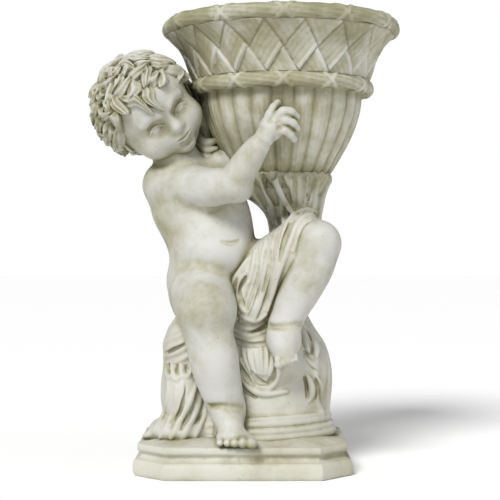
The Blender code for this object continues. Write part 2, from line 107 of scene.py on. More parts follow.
# Head: its middle, and its own axes across, ahead and up
HEAD_MIDDLE = np.array([-13.4, -4.3, 47.9])
HEAD_UP = np.array([-0.5514, -0.4512, 0.7018])
HEAD_AHEAD = np.array([0.4538, -0.8680, -0.2015])
HEAD_ROWS = np.array([np.cross(HEAD_AHEAD, HEAD_UP), HEAD_AHEAD, HEAD_UP])
CROWN = np.array([0.0, -1.0, 1.2])
LOCKS = 150
LOCK_REACH = 6.7
LOCK_LENGTH = 3.5
LOCK_WIDTH = 1.2
BROW_REACH = 0.75
GOLDEN_TURN = math.pi * (3 - math.sqrt(5))
WHORL = np.array([0.25, -0.55, 0.8])

# Camera and light
CAMERA_PLACE = (0.0105, -1.9, 0.323)
CAMERA_LENS = 91.20024
KEY_STRENGTH = 2.9
KEY_TILT = 48
KEY_TURN = -24
KEY_SPREAD = 0.35
FILL_POWER = 6
AMBIENT_STRENGTH = 0.42
FLOOR_REACH = 14.0
FLOOR_COLOUR = (0.985, 0.985, 0.985, 1)

# The stone's colours and the height of its grain; olive and umber are its wash and also its painted shade
IVORY = (0.54, 0.53, 0.455, 1)
CREAM = (0.44, 0.425, 0.32, 1)
OLIVE = (0.235, 0.225, 0.12, 1)
UMBER = (0.088, 0.078, 0.036, 1)
# A painted highlight tone: a bluish white laid on open places
COOL_HIGHLIGHT = (0.51, 0.515, 0.54, 1)
GRAIN = 0.0005


def unit(vector):
    """A vector, or each row of an array of them, made 1 long."""
    return vector / np.linalg.norm(vector, axis=-1, keepdims=True)


def ease(value, low, high):
    """0 up to low, 1 from high, and a smooth cubic rise between."""
    share = np.clip((value - low) / (high - low), 0, 1)
    return share * share * (3 - 2 * share)


def through(stations, steps):
    """A smooth curve through stations: each stretch is the Catmull-Rom cubic of its four nearest ones."""
    rows = np.asarray(stations, dtype=float)
    rows = np.vstack([2 * rows[0] - rows[1], rows, 2 * rows[-1] - rows[-2]])
    share = np.linspace(0, 1, steps, endpoint=False)[None, :, None]
    a, b, c, d = (rows[n : len(rows) - 3 + n, None, :] for n in range(4))
    bend = 2 * a - 5 * b + 4 * c - d
    twist = 3 * b - a - 3 * c + d
    curve = b + 0.5 * share * ((c - a) + share * (bend + share * twist))
    return np.vstack([curve.reshape(-1, rows.shape[1]), rows[-2:-1]])


def soft_join(a, b, soft):
    """The lesser of two distances, let down by (soft - gap)^2 / 4 soft where their gap is below soft."""
    overlap = np.maximum(soft - np.abs(a - b), 0)
    return np.minimum(a, b) - overlap * overlap * (0.25 / soft)


def hills(axes, size, seed):
    """Smooth random hills from -1 to 1: heights on a lattice of that size, eased along one axis at a time."""
    counts = [int((axis[-1] - axis[0]) / size) + 3 for axis in axes]
    made = np.random.default_rng(seed).uniform(-1, 1, counts).astype(np.float32)
    for n, axis in enumerate(axes):
        spot = (axis - axis[0]) / size
        base = spot.astype(int)
        share = ease(spot - base, 0, 1).astype(np.float32).reshape([-1 if m == n else 1 for m in range(3)])
        made = np.take(made, base, axis=n) * (1 - share) + np.take(made, base + 1, axis=n) * share
    return made


def hills_at(points, size, seed):
    """The same kind of hills at loose points, eased between the eight lattice heights round each."""
    heights = np.random.default_rng(seed).uniform(-1, 1, (32, 32, 32))
    spot = np.asarray(points) / size
    base = np.floor(spot).astype(int)
    share = ease(spot - base, 0, 1)
    total = 0
    for corner in np.ndindex(2, 2, 2):
        weight = np.prod(np.where(corner, share, 1 - share), axis=-1)
        place = (base + corner) % 32
        total = total + weight * heights[place[..., 0], place[..., 1], place[..., 2]]
    return total


def laid(rows, spots, met):
    """Stations where their rays met the clay, with the last coordinate's radii, and smoothed along."""
    path = np.column_stack([spots, rows[:, 2]])[met]
    for _ in range(2):
        path[1:-1, :3] = (path[:-2, :3] + 2 * path[1:-1, :3] + path[2:, :3]) / 4
    return path


class Clay:
    """A block of clay: each grid point's distance to the surface, less than 0 inside, in its own axes."""

    def __init__(self, low, high, cell, middle=(0, 0, 0), turned=np.eye(3)):
        """An empty block between two corners. middle is its place, and turned holds its own axes as rows."""
        self.cell = cell * COARSE
        self.middle = np.array(middle, dtype=float)
        self.turned = np.array(turned, dtype=float)
        self.low = np.array(low, dtype=float)
        self.axes = [np.arange(a, b, self.cell, dtype=np.float32) for a, b in zip(low, high)]
        self.depth = np.full([len(axis) for axis in self.axes], FAR, dtype=np.float32)

    def window(self, low, high):
        """The grid points in a box, as slices and as coordinates ready to be combined."""
        spans = tuple(slice(*np.searchsorted(axis, (a, b))) for axis, a, b in zip(self.axes, low, high))
        x, y, z = (axis[span] for axis, span in zip(self.axes, spans))
        return spans, x[:, None, None], y[None, :, None], z[None, None, :]

    def join(self, spans, shape, soft, press):
        """Joins a shape's distances to the clay, or presses the shape into it."""
        here = self.depth[spans]
        self.depth[spans] = -soft_join(-here, shape, soft) if press else soft_join(here, shape, soft)

    def ball(self, middle, radii, soft, tilt=0.0, press=False):
        """Adds an ellipsoid, tilted about Y. Its distance is near k (k - 1) / g, where k is the length of
        the point over the radii and g the length of the point over the radii squared."""
        radii = np.broadcast_to(np.asarray(radii, dtype=float), 3)
        reach = radii.max() + soft + ROOM
        spans, x, y, z = self.window(np.array(middle) - reach, np.array(middle) + reach)
        x, y, z = x - middle[0], y - middle[1], z - middle[2]
        if tilt:
            cos, sin = math.cos(math.radians(tilt)), math.sin(math.radians(tilt))
            x, z = x * cos - z * sin, x * sin + z * cos
        size = np.sqrt((x / radii[0]) ** 2 + (y / radii[1]) ** 2 + (z / radii[2]) ** 2)
        slope = np.sqrt((x / radii[0] ** 2) ** 2 + (y / radii[1] ** 2) ** 2 + (z / radii[2] ** 2) ** 2)
        self.join(spans, size * (size - 1) / np.maximum(slope, 1e-4), soft, press)

    def limb(self, stations, soft, steps=6, press=False):
        """Adds a round tapered limb through (x, y, z, radius) stations: the nearest of its short cones."""
        path = through(stations, steps).astype(np.float32)
        reach = path[:, 3].max() + soft + ROOM
        spans, x, y, z = self.window(path[:, :3].min(0) - reach, path[:, :3].max(0) + reach)
        shape = np.full((x.size, y.size, z.size), FAR, dtype=np.float32)
        for first, last in zip(path, path[1:]):
            low = np.minimum(first, last)[:3] - reach
            high = np.maximum(first, last)[:3] + reach
            near = tuple(
                slice(*np.searchsorted(axis.ravel(), (a, b))) for axis, a, b in zip((x, y, z), low, high)
            )
            px, py, pz = x[near[0]] - first[0], y[:, near[1]] - first[1], z[:, :, near[2]] - first[2]
            way = last[:3] - first[:3]
            share = np.clip((px * way[0] + py * way[1] + pz * way[2]) / max(way @ way, 1e-6), 0, 1)
            square = (px - way[0] * share) ** 2 + (py - way[1] * share) ** 2
            gap = np.sqrt(square + (pz - way[2] * share) ** 2)
            gap -= first[3] + (last[3] - first[3]) * share
            np.minimum(shape[near], gap, out=shape[near])
        self.join(spans, shape, soft, press)

    def swell(self, stations, soft=1.0):
        """Adds a body of ellipsoids through (x, y, z, width, depth, height) stations of half sizes."""
        for station in through(stations, 4):
            self.ball(station[:3], station[3:], soft)

    def roughen(self, size, height, seed):
        """Moves the surface in and out by smooth random hills, as a hand-finished mould has them."""
        self.depth += height * hills(self.axes, size, seed)

    def at(self, points):
        """The distance at each point of the model, mixed from the eight grid points round it."""
        spot = ((points - self.middle) @ self.turned.T - self.low) / self.cell
        held = np.clip(spot, 0, np.array(self.depth.shape) - 1.001)
        base = held.astype(int)
        share = held - base
        total = 0
        for corner in np.ndindex(2, 2, 2):
            weight = np.prod(np.where(corner, share, 1 - share), axis=1)
            total = total + weight * self.depth[tuple((base + corner).T)]
        return np.where((spot == held).all(axis=1), total, FAR)

    def first_inside(self, starts, way, reach):
        """Where the clay begins on the way from each start, in steps a cell long, and whether it does."""
        steps = np.arange(0, reach, self.cell)
        spots = starts[:, None, :] + way[:, None, :] * steps[None, :, None]
        depth = self.at(spots.reshape(-1, 3)).reshape(len(starts), -1)
        return spots[np.arange(len(starts)), np.argmax(depth < 0, axis=1)], (depth < 0).any(axis=1)

    def laid_in_front(self, stations, sink):
        """(x, z, radius) stations laid on the front of the clay, sunk in by a share of their radius."""
        rows = through(stations, 4)
        starts = np.stack([rows[:, 0], np.full(len(rows), -15.0), rows[:, 1]], axis=1)
        spots, met = self.first_inside(starts, np.tile([0.0, 1.0, 0.0], (len(rows), 1)), 16)
        spots[:, 1] += sink * rows[:, 2]
        return laid(rows, spots, met)

    def laid_around(self, x, y, stations, sink):
        """(turn, z, radius) stations laid round an upright axis, with the turn in degrees from the front."""
        rows = through(stations, 4)
        turn = np.radians(rows[:, 0])
        out = np.stack([np.sin(turn), -np.cos(turn), np.zeros(len(rows))], axis=1)
        starts = np.column_stack([np.full(len(rows), x), np.full(len(rows), y), rows[:, 1]]) + 15 * out
        spots, met = self.first_inside(starts, -out, 15)
        return laid(rows, spots - out * (sink * rows[:, 2:3]), met)

    def skin(self):
        """A skin of four-sided faces: a point in each grid cell that the surface crosses, at the mean of
        the crossings on the cell's edges, and a face round each grid edge that it crosses."""
        inside = self.depth < 0
        shape = np.array(inside.shape) - 1
        some = np.zeros(shape, dtype=bool)
        every = np.ones(shape, dtype=bool)
        for corner in np.ndindex(2, 2, 2):
            part = inside[tuple(slice(a, a + n) for a, n in zip(corner, shape))]
            some |= part
            every &= part
        cells = np.flatnonzero(some & ~every)
        base = np.stack(np.unravel_index(cells, shape), axis=1)
        total = np.zeros(base.shape)
        crossings = np.zeros((len(base), 1))
        for axis in range(3):
            for side in np.ndindex(2, 2):
                start = np.insert(side, axis, 0)
                end = np.insert(side, axis, 1)
                a = self.depth[tuple((base + start).T)]
                b = self.depth[tuple((base + end).T)]
                crossed = ((a < 0) != (b < 0))[:, None]
                share = (a / np.where(a == b, 1, a - b))[:, None]
                total += crossed * (start + share * (end - start))
                crossings += crossed
        points = self.low + self.cell * (base + total / crossings)
        faces = []
        for axis in range(3):
            first = [slice(1, -1)] * 3
            last = [slice(1, -1)] * 3
            first[axis], last[axis] = slice(0, -1), slice(1, None)
            spots = np.argwhere(inside[tuple(first)] != inside[tuple(last)])
            spots[:, (axis + 1) % 3] += 1
            spots[:, (axis + 2) % 3] += 1
            u, v = np.eye(3, dtype=int)[(axis + 1) % 3], np.eye(3, dtype=int)[(axis + 2) % 3]
            ring = [np.ravel_multi_index((spots - step).T, shape) for step in (u + v, v, 0 * u, u)]
            ring = np.searchsorted(cells, np.stack(ring, axis=1))
            solid = inside[tuple(spots.T)]
            faces.append(np.where(solid[:, None], ring, ring[:, ::-1]))
        return points @ self.turned + self.middle, np.vstack(faces)


def outer_skin(points, faces):
    """Keeps every closed skin that faces outwards and drops those of pockets inside: every point takes the
    lowest number that its neighbours know, and a skin's volume is the sum of its faces' wedges."""
    label = np.arange(len(points))
    while True:
        lowest = label[faces].min(axis=1)
        known = label.copy()
        for n in range(4):
            np.minimum.at(known, faces[:, n], lowest)
        known = known[known]
        if (known == label).all():
            break
        label = known
    a, b, c, d = (points[faces[:, n]] for n in range(4))
    wedges = np.einsum("ij,ij->i", a, np.cross(b, c)) + np.einsum("ij,ij->i", a, np.cross(c, d))
    volume = np.bincount(label[faces[:, 0]], weights=wedges, minlength=len(points))
    kept = volume[label] > 6 * LEAST_SHELL
    number = np.cumsum(kept) - 1
    return points[kept], number[faces[kept[faces[:, 0]]]]


def mesh_of(name, points, faces):
    """A smooth-shaded mesh from arrays of points and of faces with as many corners each."""
    mesh = bpy.data.meshes.new(name)
    corners = faces.shape[1]
    mesh.vertices.add(len(points))
    mesh.vertices.foreach_set("co", np.ascontiguousarray(points, dtype=np.float32).ravel())
    mesh.loops.add(faces.size)
    mesh.loops.foreach_set("vertex_index", np.ascontiguousarray(faces, dtype=np.int32).ravel())
    mesh.polygons.add(len(faces))
    mesh.polygons.foreach_set("loop_start", np.arange(0, faces.size, corners, dtype=np.int32))
    mesh.update(calc_edges=True)
    mesh.shade_smooth()
    return mesh


def thinned(mesh, most):
    """A mesh brought down to a number of triangles by collapsing the edges that matter least."""
    triangles = len(mesh.loops) - 2 * len(mesh.polygons)
    obj = bpy.data.objects.new("thinned", mesh)
    bpy.context.scene.collection.objects.link(obj)
    modifier = obj.modifiers.new("thin", "DECIMATE")
    modifier.ratio = min(1.0, most / triangles)
    modifier.use_collapse_triangulate = True
    made = bpy.data.meshes.new_from_object(obj.evaluated_get(bpy.context.evaluated_depsgraph_get()))
    bpy.data.objects.remove(obj)
    bpy.data.meshes.remove(mesh)
    made.shade_smooth()
    return made


def points_and_normals(mesh):
    """A mesh's points in figure units, and its unit normals there."""
    points = np.empty(len(mesh.vertices) * 3, dtype=np.float32)
    mesh.vertices.foreach_get("co", points)
    normals = np.empty(len(mesh.vertices) * 3, dtype=np.float32)
    mesh.vertex_normals.foreach_get("vector", normals)
    points = points.reshape(-1, 3).astype(float) / UNIT
    points[:, 2] -= PLINTH_HEIGHT / UNIT
    return points, normals.reshape(-1, 3).astype(float)


def piece(name, mesh, material, recess):
    """The finished object: rides on the casting's body, stands for its node and carries its recess value,
    which its material paints as wash and as painted shade.
    """
    mesh.name = name
    layer = mesh.attributes.new("recess", "FLOAT", "POINT")
    layer.data.foreach_set("value", np.clip(recess, 0, 1).astype(np.float32))
    mesh.materials.clear()
    mesh.materials.append(material)
    obj = bpy.data.objects.new(name, mesh)
    bpy.context.scene.collection.objects.link(obj)
    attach(obj, "root")
    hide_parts(NODE)
    return obj


def from_clay(name, clay, material, surroundings, recess_darkening=None):
    """A piece from a block of clay: skinned, thinned, and marked with how deep its recesses are, for its
    material's wash and painted shade.
    """
    points, faces = outer_skin(*clay.skin())
    points = points * UNIT + np.array([0, 0, PLINTH_HEIGHT])
    mesh = thinned(mesh_of(name, points, faces), MOST_FACES)
    spots, normals = points_and_normals(mesh)
    recess = shade_and_wash_of(spots, normals, surroundings)
    return piece(name, mesh, material, recess if recess_darkening is None else recess * recess_darkening(spots))


def shade_and_wash_of(points, normals, surroundings):
    """How hemmed in each point is: the share of a straight rise off the surface, at a few heights, that
    nearby stone takes away. A baked occlusion, from other pieces and the plinth's top too, that the
    materials paint as wash and as painted shade."""
    total = np.zeros(len(points))
    for height, weight in RECESS_STEPS:
        spots = points + normals * height
        clear = np.minimum.reduce([distance(spots) for distance in surroundings])
        total += weight * np.clip(1 - clear / height, 0, 1.6)
    return total


def wall_radius(height):
    """About the bowl's outer radius at a height, both in metres, by straight lines between rings."""
    band, rim = BOWL_HEIGHT, BOWL_HEIGHT + BASKET_HEIGHT
    steps = (-0.02, 0.0, 0.03, 0.07, band, band + 0.01, band + 0.05, rim)
    radii = (0.0, FOOT_RADIUS, 0.083, 0.104, BOWL_RADIUS + 0.016, BAND_RADIUS, 0.148, RIM_RADIUS + RIM_ROPE)
    return np.interp(height - FOOT_Z, steps, radii)


def bowl_distance(points):
    """About how far outside the basket bowl figure points are: their radius less the wall's there."""
    radius = np.hypot(points[:, 0] * UNIT - BASKET_X, points[:, 1] * UNIT)
    wall = wall_radius(points[:, 2] * UNIT + PLINTH_HEIGHT)
    return np.where(radius < 0.1, FAR, (radius - wall) / UNIT)


def plinth_distance(points):
    """How far figure points are above the plinth's top."""
    return points[:, 2]


def torso(clay):
    """Hips, round belly, chest and shoulders in one soft swelling form, and the short neck."""
    clay.swell(
        [
            (-5.2, -1.6, 23.0, 5.8, 4.8, 4.4),
            (-4.5, -3.5, 27.6, 6.0, 5.2, 4.2),
            (-5.4, -3.1, 31.0, 6.5, 4.7, 3.8),
            (-6.5, -2.8, 34.2, 6.9, 4.5, 4.2),
            (-7.2, -2.4, 37.8, 5.7, 3.7, 2.8),
        ]
    )
    clay.limb([(-8.2, -2.8, 39.0, 3.4), (-10.4, -3.4, 42.4, 3.2), (-12.2, -3.8, 45.5, 3.5)], soft=1.4)
    clay.ball((-7.3, 2.4, 22.4), (3.9, 3.5, 4.2), soft=1.6)
    clay.ball((-2.6, 2.8, 22.4), (4.2, 3.4, 4.2), soft=1.6)
    clay.ball((-10.4, 0.6, 36.0), (2.6, 1.8, 3.0), soft=1.8)
    clay.ball((-5.0, 1.2, 36.6), (2.6, 1.6, 3.0), soft=1.8)
    spine = [(-8.0, 2.1, 38.6, 0.4), (-6.8, 2.4, 33.5, 0.5), (-5.4, 2.7, 28.0, 0.4), (-5.1, 4.6, 24.4, 0.3)]
    clay.limb(spine, soft=1.4, press=True)
    clay.limb(
        [(-5.0, 5.9, 24.6, 0.2), (-4.9, 6.1, 22.4, 0.35), (-4.9, 5.4, 20.6, 0.3)], soft=0.7, press=True
    )


def belly(clay):
    """The roll of the belly over the thighs, the navel's slit and the fold below it."""
    clay.ball((-4.0, -5.5, 27.3), (4.6, 3.9, 3.3), soft=1.5)
    clay.ball((-8.6, -5.0, 34.6), (2.8, 2.4, 2.6), soft=1.6)
    slit = [(-2.9, 28.9, 0.12), (-2.0, 28.65, 0.3), (-1.1, 28.75, 0.24), (-0.5, 29.1, 0.1)]
    clay.limb(clay.laid_in_front(slit, sink=-0.1), soft=0.35, press=True)
    fold = [(-9.2, 25.0, 0.1), (-7.4, 24.2, 0.26), (-4.6, 23.6, 0.36), (-1.8, 23.1, 0.34), (0.2, 23.7, 0.2)]
    clay.limb(clay.laid_in_front(fold, sink=0.1), soft=0.45, press=True)


def ring_crease(clay, middle, way, radius, width, soft=0.3, reach=1.0):
    """Presses the round crease of plump limbs: an arc square to the limb's way, the same reach in turns
    to both sides of its front."""
    way = unit(np.array(way, dtype=float))
    side = unit(np.cross(way, (0.0, 1.0, 0.12)))
    front = np.cross(side, way)
    front = front if front[1] < 0 else -front
    turn = np.linspace(-math.pi, math.pi, 25)[:, None] * reach
    spots = np.array(middle) + radius * (np.cos(turn) * front + np.sin(turn) * side)
    widths = width * (1 - 0.7 * np.linspace(-1, 1, 25) ** 2)
    clay.limb(np.column_stack([spots, widths]), soft=soft, steps=1, press=True)


def finger(clay, stations):
    """One finger: a short limb whose joints swell a little between shallow creases."""
    path = through(stations, 3)
    share = np.linspace(0, 1, len(path))
    path[:, 3] *= 1 + 0.07 * np.cos(share * 3 * math.tau)
    clay.limb(path, soft=0.18, steps=2)


def right_arm(clay):
    """The arm that crosses the chest, with its hand on the bowl's front and one finger raised."""
    elbow = (-1.3, -10.8, 37.0, 2.4)
    clay.limb(
        [(-11.2, -3.2, 37.3, 3.6), (-7.4, -6.4, 36.9, 3.15), (-4.0, -9.2, 36.7, 2.75), elbow], soft=1.0
    )
    clay.limb([elbow, (0.2, -11.8, 39.4, 2.15), (1.6, -12.6, 41.5, 1.8), (2.9, -13.1, 43.2, 1.4)], soft=0.6)
    clay.ball((-0.4, -10.6, 36.3), (1.7, 1.7, 1.6), soft=1.2)
    clay.ball((4.1, -13.0, 44.7), (2.0, 1.25, 1.75), soft=0.5, tilt=-38)
    clay.limb([(3.2, -13.0, 43.9, 1.1), (4.3, -13.4, 45.0, 1.15), (5.2, -13.5, 45.4, 0.9)], soft=0.5)
    for stations in (
        [
            (3.3, -13.5, 45.0, 0.8),
            (3.8, -13.7, 46.5, 0.68),
            (4.35, -13.4, 47.6, 0.6),
            (4.9, -12.9, 48.3, 0.5),
        ],
        [
            (4.6, -13.5, 45.9, 0.75),
            (5.6, -14.1, 46.9, 0.68),
            (6.7, -13.9, 46.9, 0.62),
            (7.5, -13.0, 46.3, 0.52),
        ],
        [
            (4.9, -13.4, 45.1, 0.72),
            (5.9, -14.1, 45.7, 0.68),
            (7.0, -13.9, 45.3, 0.6),
            (7.6, -13.0, 44.7, 0.5),
        ],
        [
            (4.9, -13.4, 44.2, 0.68),
            (5.9, -14.0, 44.3, 0.62),
            (6.7, -13.7, 43.7, 0.56),
            (7.2, -12.9, 43.2, 0.46),
        ],
        [(2.6, -12.6, 44.3, 0.62), (3.0, -12.3, 45.5, 0.55), (3.6, -11.9, 46.3, 0.45)],
    ):
        finger(clay, stations)
    for x, y, z in ((3.9, -14.45, 45.5), (4.9, -14.55, 45.4), (5.1, -14.45, 44.6)):
        clay.ball((x, y, z), 0.24, soft=0.35, press=True)
    ring_crease(clay, (2.75, -13.05, 43.0), (1.3, -0.5, 1.8), 1.62, 0.12, soft=0.45, reach=0.6)


def left_arm(clay):
    """The arm that reaches up behind the bowl and lays its hand flat on the back."""
    elbow = (-5.0, 8.0, 43.2, 2.3)
    clay.limb([(-3.2, -1.4, 39.6, 3.3), (-4.4, 3.6, 41.2, 2.8), elbow], soft=1.0)
    clay.limb([elbow, (-1.6, 11.4, 45.4, 2.0), (2.4, 12.9, 47.3, 1.4)], soft=0.5)
    clay.ball((4.0, 13.0, 48.0), (2.0, 1.15, 1.7), soft=0.5)
    for n in range(4):
        spread = n / 3
        finger(
            clay,
            [
                (5.0, 13.1, 49.3 - 2.3 * spread, 0.72),
                (6.2, 13.3, 49.7 - 2.9 * spread, 0.64),
                (7.4, 12.7, 49.8 - 3.2 * spread, 0.54),
            ],
        )
    finger(clay, [(3.6, 13.0, 49.0, 0.7), (4.2, 12.8, 50.6, 0.62), (4.8, 12.4, 51.6, 0.5)])
    ring_crease(clay, (2.3, 12.85, 47.2), (4.0, 1.5, 1.9), 1.6, 0.16)


def toes(clay, first, step, big, small, way):
    """Five toes side by side, from the small one to the big one, each a short limb with a round tip."""
    for n in range(5):
        share = n / 4
        radius = small + (big - small) * share**1.4
        start = np.array(first) + np.array(step) * (n + 0.12 * n * share)
        tip = start + np.array(way) * (1.0 + 0.45 * share)
        middle = start * 0.45 + tip * 0.55
        clay.limb([(*start, radius * 0.9), (*middle, radius * 0.84), (*tip, radius)], soft=0.1)


def right_leg(clay):
    """The leg that hangs down in front: plump thigh, round knee, full calf and the foot on the plinth."""
    clay.limb([(-6.3, -2.0, 22.6, 4.8), (-5.9, -6.2, 21.2, 4.8), (-5.2, -9.6, 19.4, 4.3)], soft=1.0)
    clay.limb(
        [
            (-5.2, -9.8, 19.0, 4.15),
            (-4.8, -9.9, 15.4, 3.45),
            (-4.0, -9.7, 11.4, 3.4),
            (-3.0, -9.4, 7.8, 3.0),
            (-2.2, -9.1, 5.2, 2.5),
        ],
        soft=0.8,
    )
    clay.ball((-5.2, -11.6, 19.2), (2.5, 2.0, 2.5), soft=1.8)
    clay.ball((-3.4, -11.0, 12.6), (2.2, 2.3, 3.6), soft=1.8)
    clay.limb(
        [(-2.1, -9.1, 4.8, 2.3), (-1.9, -9.8, 3.4, 2.1), (-1.5, -11.0, 2.3, 1.75), (-1.1, -12.0, 1.5, 1.4)],
        soft=1.2,
    )
    clay.ball((-2.0, -8.0, 1.8), (2.3, 2.4, 1.9), soft=0.8)
    clay.ball((-1.1, -11.6, 1.25), (2.6, 1.5, 1.15), soft=0.8)
    toes(clay, (-3.2, -12.2, 0.85), (0.98, -0.12, 0.03), 0.82, 0.5, (0.06, -1.0, -0.1))
    ring_crease(clay, (-2.25, -9.1, 5.2), (0.4, 0.4, 2.6), 2.74, 0.05, soft=1.2, reach=0.3)


def left_thigh(clay):
    """The thigh that rises to the other knee, under the cloth."""
    clay.limb([(-2.2, -1.2, 22.8, 4.3), (3.6, -4.2, 25.8, 3.7), (10.6, -7.4, 28.6, 3.4)], soft=1.0)


def left_shin(clay):
    """The shin below the raised knee, its creased ankle and the foot that points down."""
    clay.limb(
        [
            (10.7, -7.8, 28.4, 3.35),
            (9.8, -7.9, 25.6, 3.4),
            (8.6, -8.0, 22.8, 3.1),
            (7.2, -8.1, 19.8, 2.65),
            (6.1, -8.2, 17.2, 2.2),
        ],
        soft=0.8,
    )
    clay.ball((11.1, -9.1, 29.0), (2.2, 1.9, 2.2), soft=1.4)
    clay.limb(
        [(6.0, -8.2, 16.8, 2.2), (5.7, -9.1, 14.8, 2.2), (6.0, -9.9, 13.0, 1.65), (6.3, -10.2, 12.1, 1.15)],
        soft=0.8,
    )
    clay.ball((4.9, -8.2, 15.0), (1.4, 1.8, 1.9), soft=0.8)
    clay.ball((7.0, -8.6, 14.8), (1.4, 1.6, 2.0), soft=0.8)
    toes(clay, (7.45, -10.35, 12.75), (-0.54, -0.1, -0.1), 0.62, 0.42, (0.02, -0.42, -0.52))
    ring_crease(clay, (6.15, -8.25, 17.1), (0.2, 0.3, -2.6), 2.4, 0.07, soft=1.0, reach=0.36)


def pleat(clay, low, high, axis, count, height, wander, lean, seed):
    """Raises upright pleats round an axis: height * |cos(count * turn / 2 + lean * z + hills)|, which is
    round on top and sharp in the valleys, and dies out in front and near the box's top and bottom."""
    spans, x, y, z = clay.window(low, high)
    turn = np.arctan2(x - axis[0], axis[1] - y)
    drift = hills([x.ravel(), y.ravel(), z.ravel()], 4.5, seed)
    ridge = np.abs(np.cos(count / 2 * turn + lean * z + wander * drift))
    fade = ease(z, low[2], low[2] + 2.5) * (1 - ease(z, high[2] - 2.5, high[2]))
    fade = fade * ease(np.abs(turn), 1.25, 1.7)
    clay.depth[spans] -= (height * (ridge - 0.6) * fade).astype(np.float32)


def between(first, last, share):
    """The stations that lie a share of the way from one fold's to another's."""
    return np.asarray(first, dtype=float) * (1 - share) + np.asarray(last, dtype=float) * share


def folds(clay, first, last, count, soft, bend=0.0, axis=None, sink=0.3):
    """A run of folds laid on the clay, from a first to a last one, in front or round an axis. Every other
    one is thinner, and each is bent to one side in turn."""
    paths = []
    for n in range(count):
        stations = between(first, last, n / (count - 1))
        stations[:, -1] *= 1.0 if n % 2 == 0 else 0.72
        stations[1:-1, 0] += bend * (1 if n % 2 else -1)
        if axis is None:
            paths.append(clay.laid_in_front(stations, sink))
        else:
            paths.append(clay.laid_around(*axis, stations, sink))
    for path in paths:
        clay.limb(path, soft=soft, steps=2)


def ridges(clay, paths, sink, soft=0.28):
    """Cloth folds of their own courses, laid on the front of the clay as it was before any of them."""
    for path in [clay.laid_in_front(path, sink) for path in paths]:
        clay.limb(path, soft=soft, steps=2)


def hollows(clay, paths, soft, sink):
    """Narrow hollows pressed into the front of the clay."""
    for path in [clay.laid_in_front(path, sink) for path in paths]:
        clay.limb(path, soft=soft, steps=2, press=True)


def stump(clay):
    """The draped stump under the seat, and the flat round ledges at its foot."""
    clay.swell(
        [
            (1.6, 0.4, 0.4, 11.6, 8.6, 2.6),
            (1.4, 0.4, 5.0, 11.2, 8.2, 3.6),
            (1.5, 0.3, 11.0, 11.2, 7.6, 3.8),
            (0.3, 0.2, 16.0, 9.6, 6.6, 3.6),
            (-0.6, 0.2, 18.8, 7.7, 5.7, 3.2),
        ]
    )
    turn = np.linspace(0, 1, 41)
    x, y = 2.0 + 11.2 * np.sin(math.tau * turn), -0.2 - 8.7 * np.cos(math.tau * turn)
    for z, width, out in ((0.6, 0.75, 1.0), (1.5, 0.62, 0.985), (2.6, 0.6, 0.955), (3.3, 0.42, 0.94)):
        ledge = np.column_stack([x * out, y * out, z + 0.35 * np.sin(math.tau * turn), np.full(41, width)])
        clay.limb(ledge, soft=0.16, steps=1)


def column(clay):
    """The gathered cloth that rises from the seat and opens round the bottom of the bowl."""
    clay.limb(
        [
            (2.4, 1.0, 16.0, 5.3),
            (4.8, 1.0, 22.0, 4.3),
            (7.4, 0.9, 28.6, 3.6),
            (8.3, 0.8, 33.4, 3.3),
            (7.3, 0.4, 36.2, 4.5),
            (5.9, 0.2, 39.4, 6.1),
        ],
        soft=1.2,
    )
    clay.swell(
        [(5.7, 0.0, 36.5, 6.2, 6.2, 1.0), (5.7, 0.0, 37.6, 6.9, 6.9, 1.0), (5.7, 0.0, 38.7, 7.6, 7.6, 1.0)],
        soft=0.4,
    )
    clay.ball((2.6, -0.2, 37.6), (3.8, 3.6, 2.8), soft=1.0, tilt=24)


def cloth_masses(clay):
    """The bulk of the drapery, under its folds."""
    clay.ball((2.4, -3.4, 23.6), (4.8, 4.6, 4.3), soft=0.8)
    clay.ball((4.6, -4.0, 20.6), (4.4, 4.0, 5.0), soft=1.0)
    clay.ball((1.0, -6.0, 19.8), (2.6, 2.6, 3.6), soft=1.0)
    clay.ball((3.4, -6.4, 11.6), (3.8, 2.4, 3.8), soft=1.0)
    clay.ball((-7.6, -2.6, 13.6), (3.9, 5.2, 4.6), soft=1.2)
    clay.ball((-8.4, -3.0, 6.6), (3.4, 5.2, 6.6), soft=1.2)
    clay.ball((-9.0, -3.6, 1.4), (4.8, 5.6, 2.2), soft=0.8)
    clay.limb(
        [(-1.8, -2.4, 22.6, 4.0), (3.4, -4.6, 24.6, 4.5), (6.6, -6.0, 27.0, 4.2), (8.6, -6.2, 29.2, 3.6)],
        soft=1.0,
    )


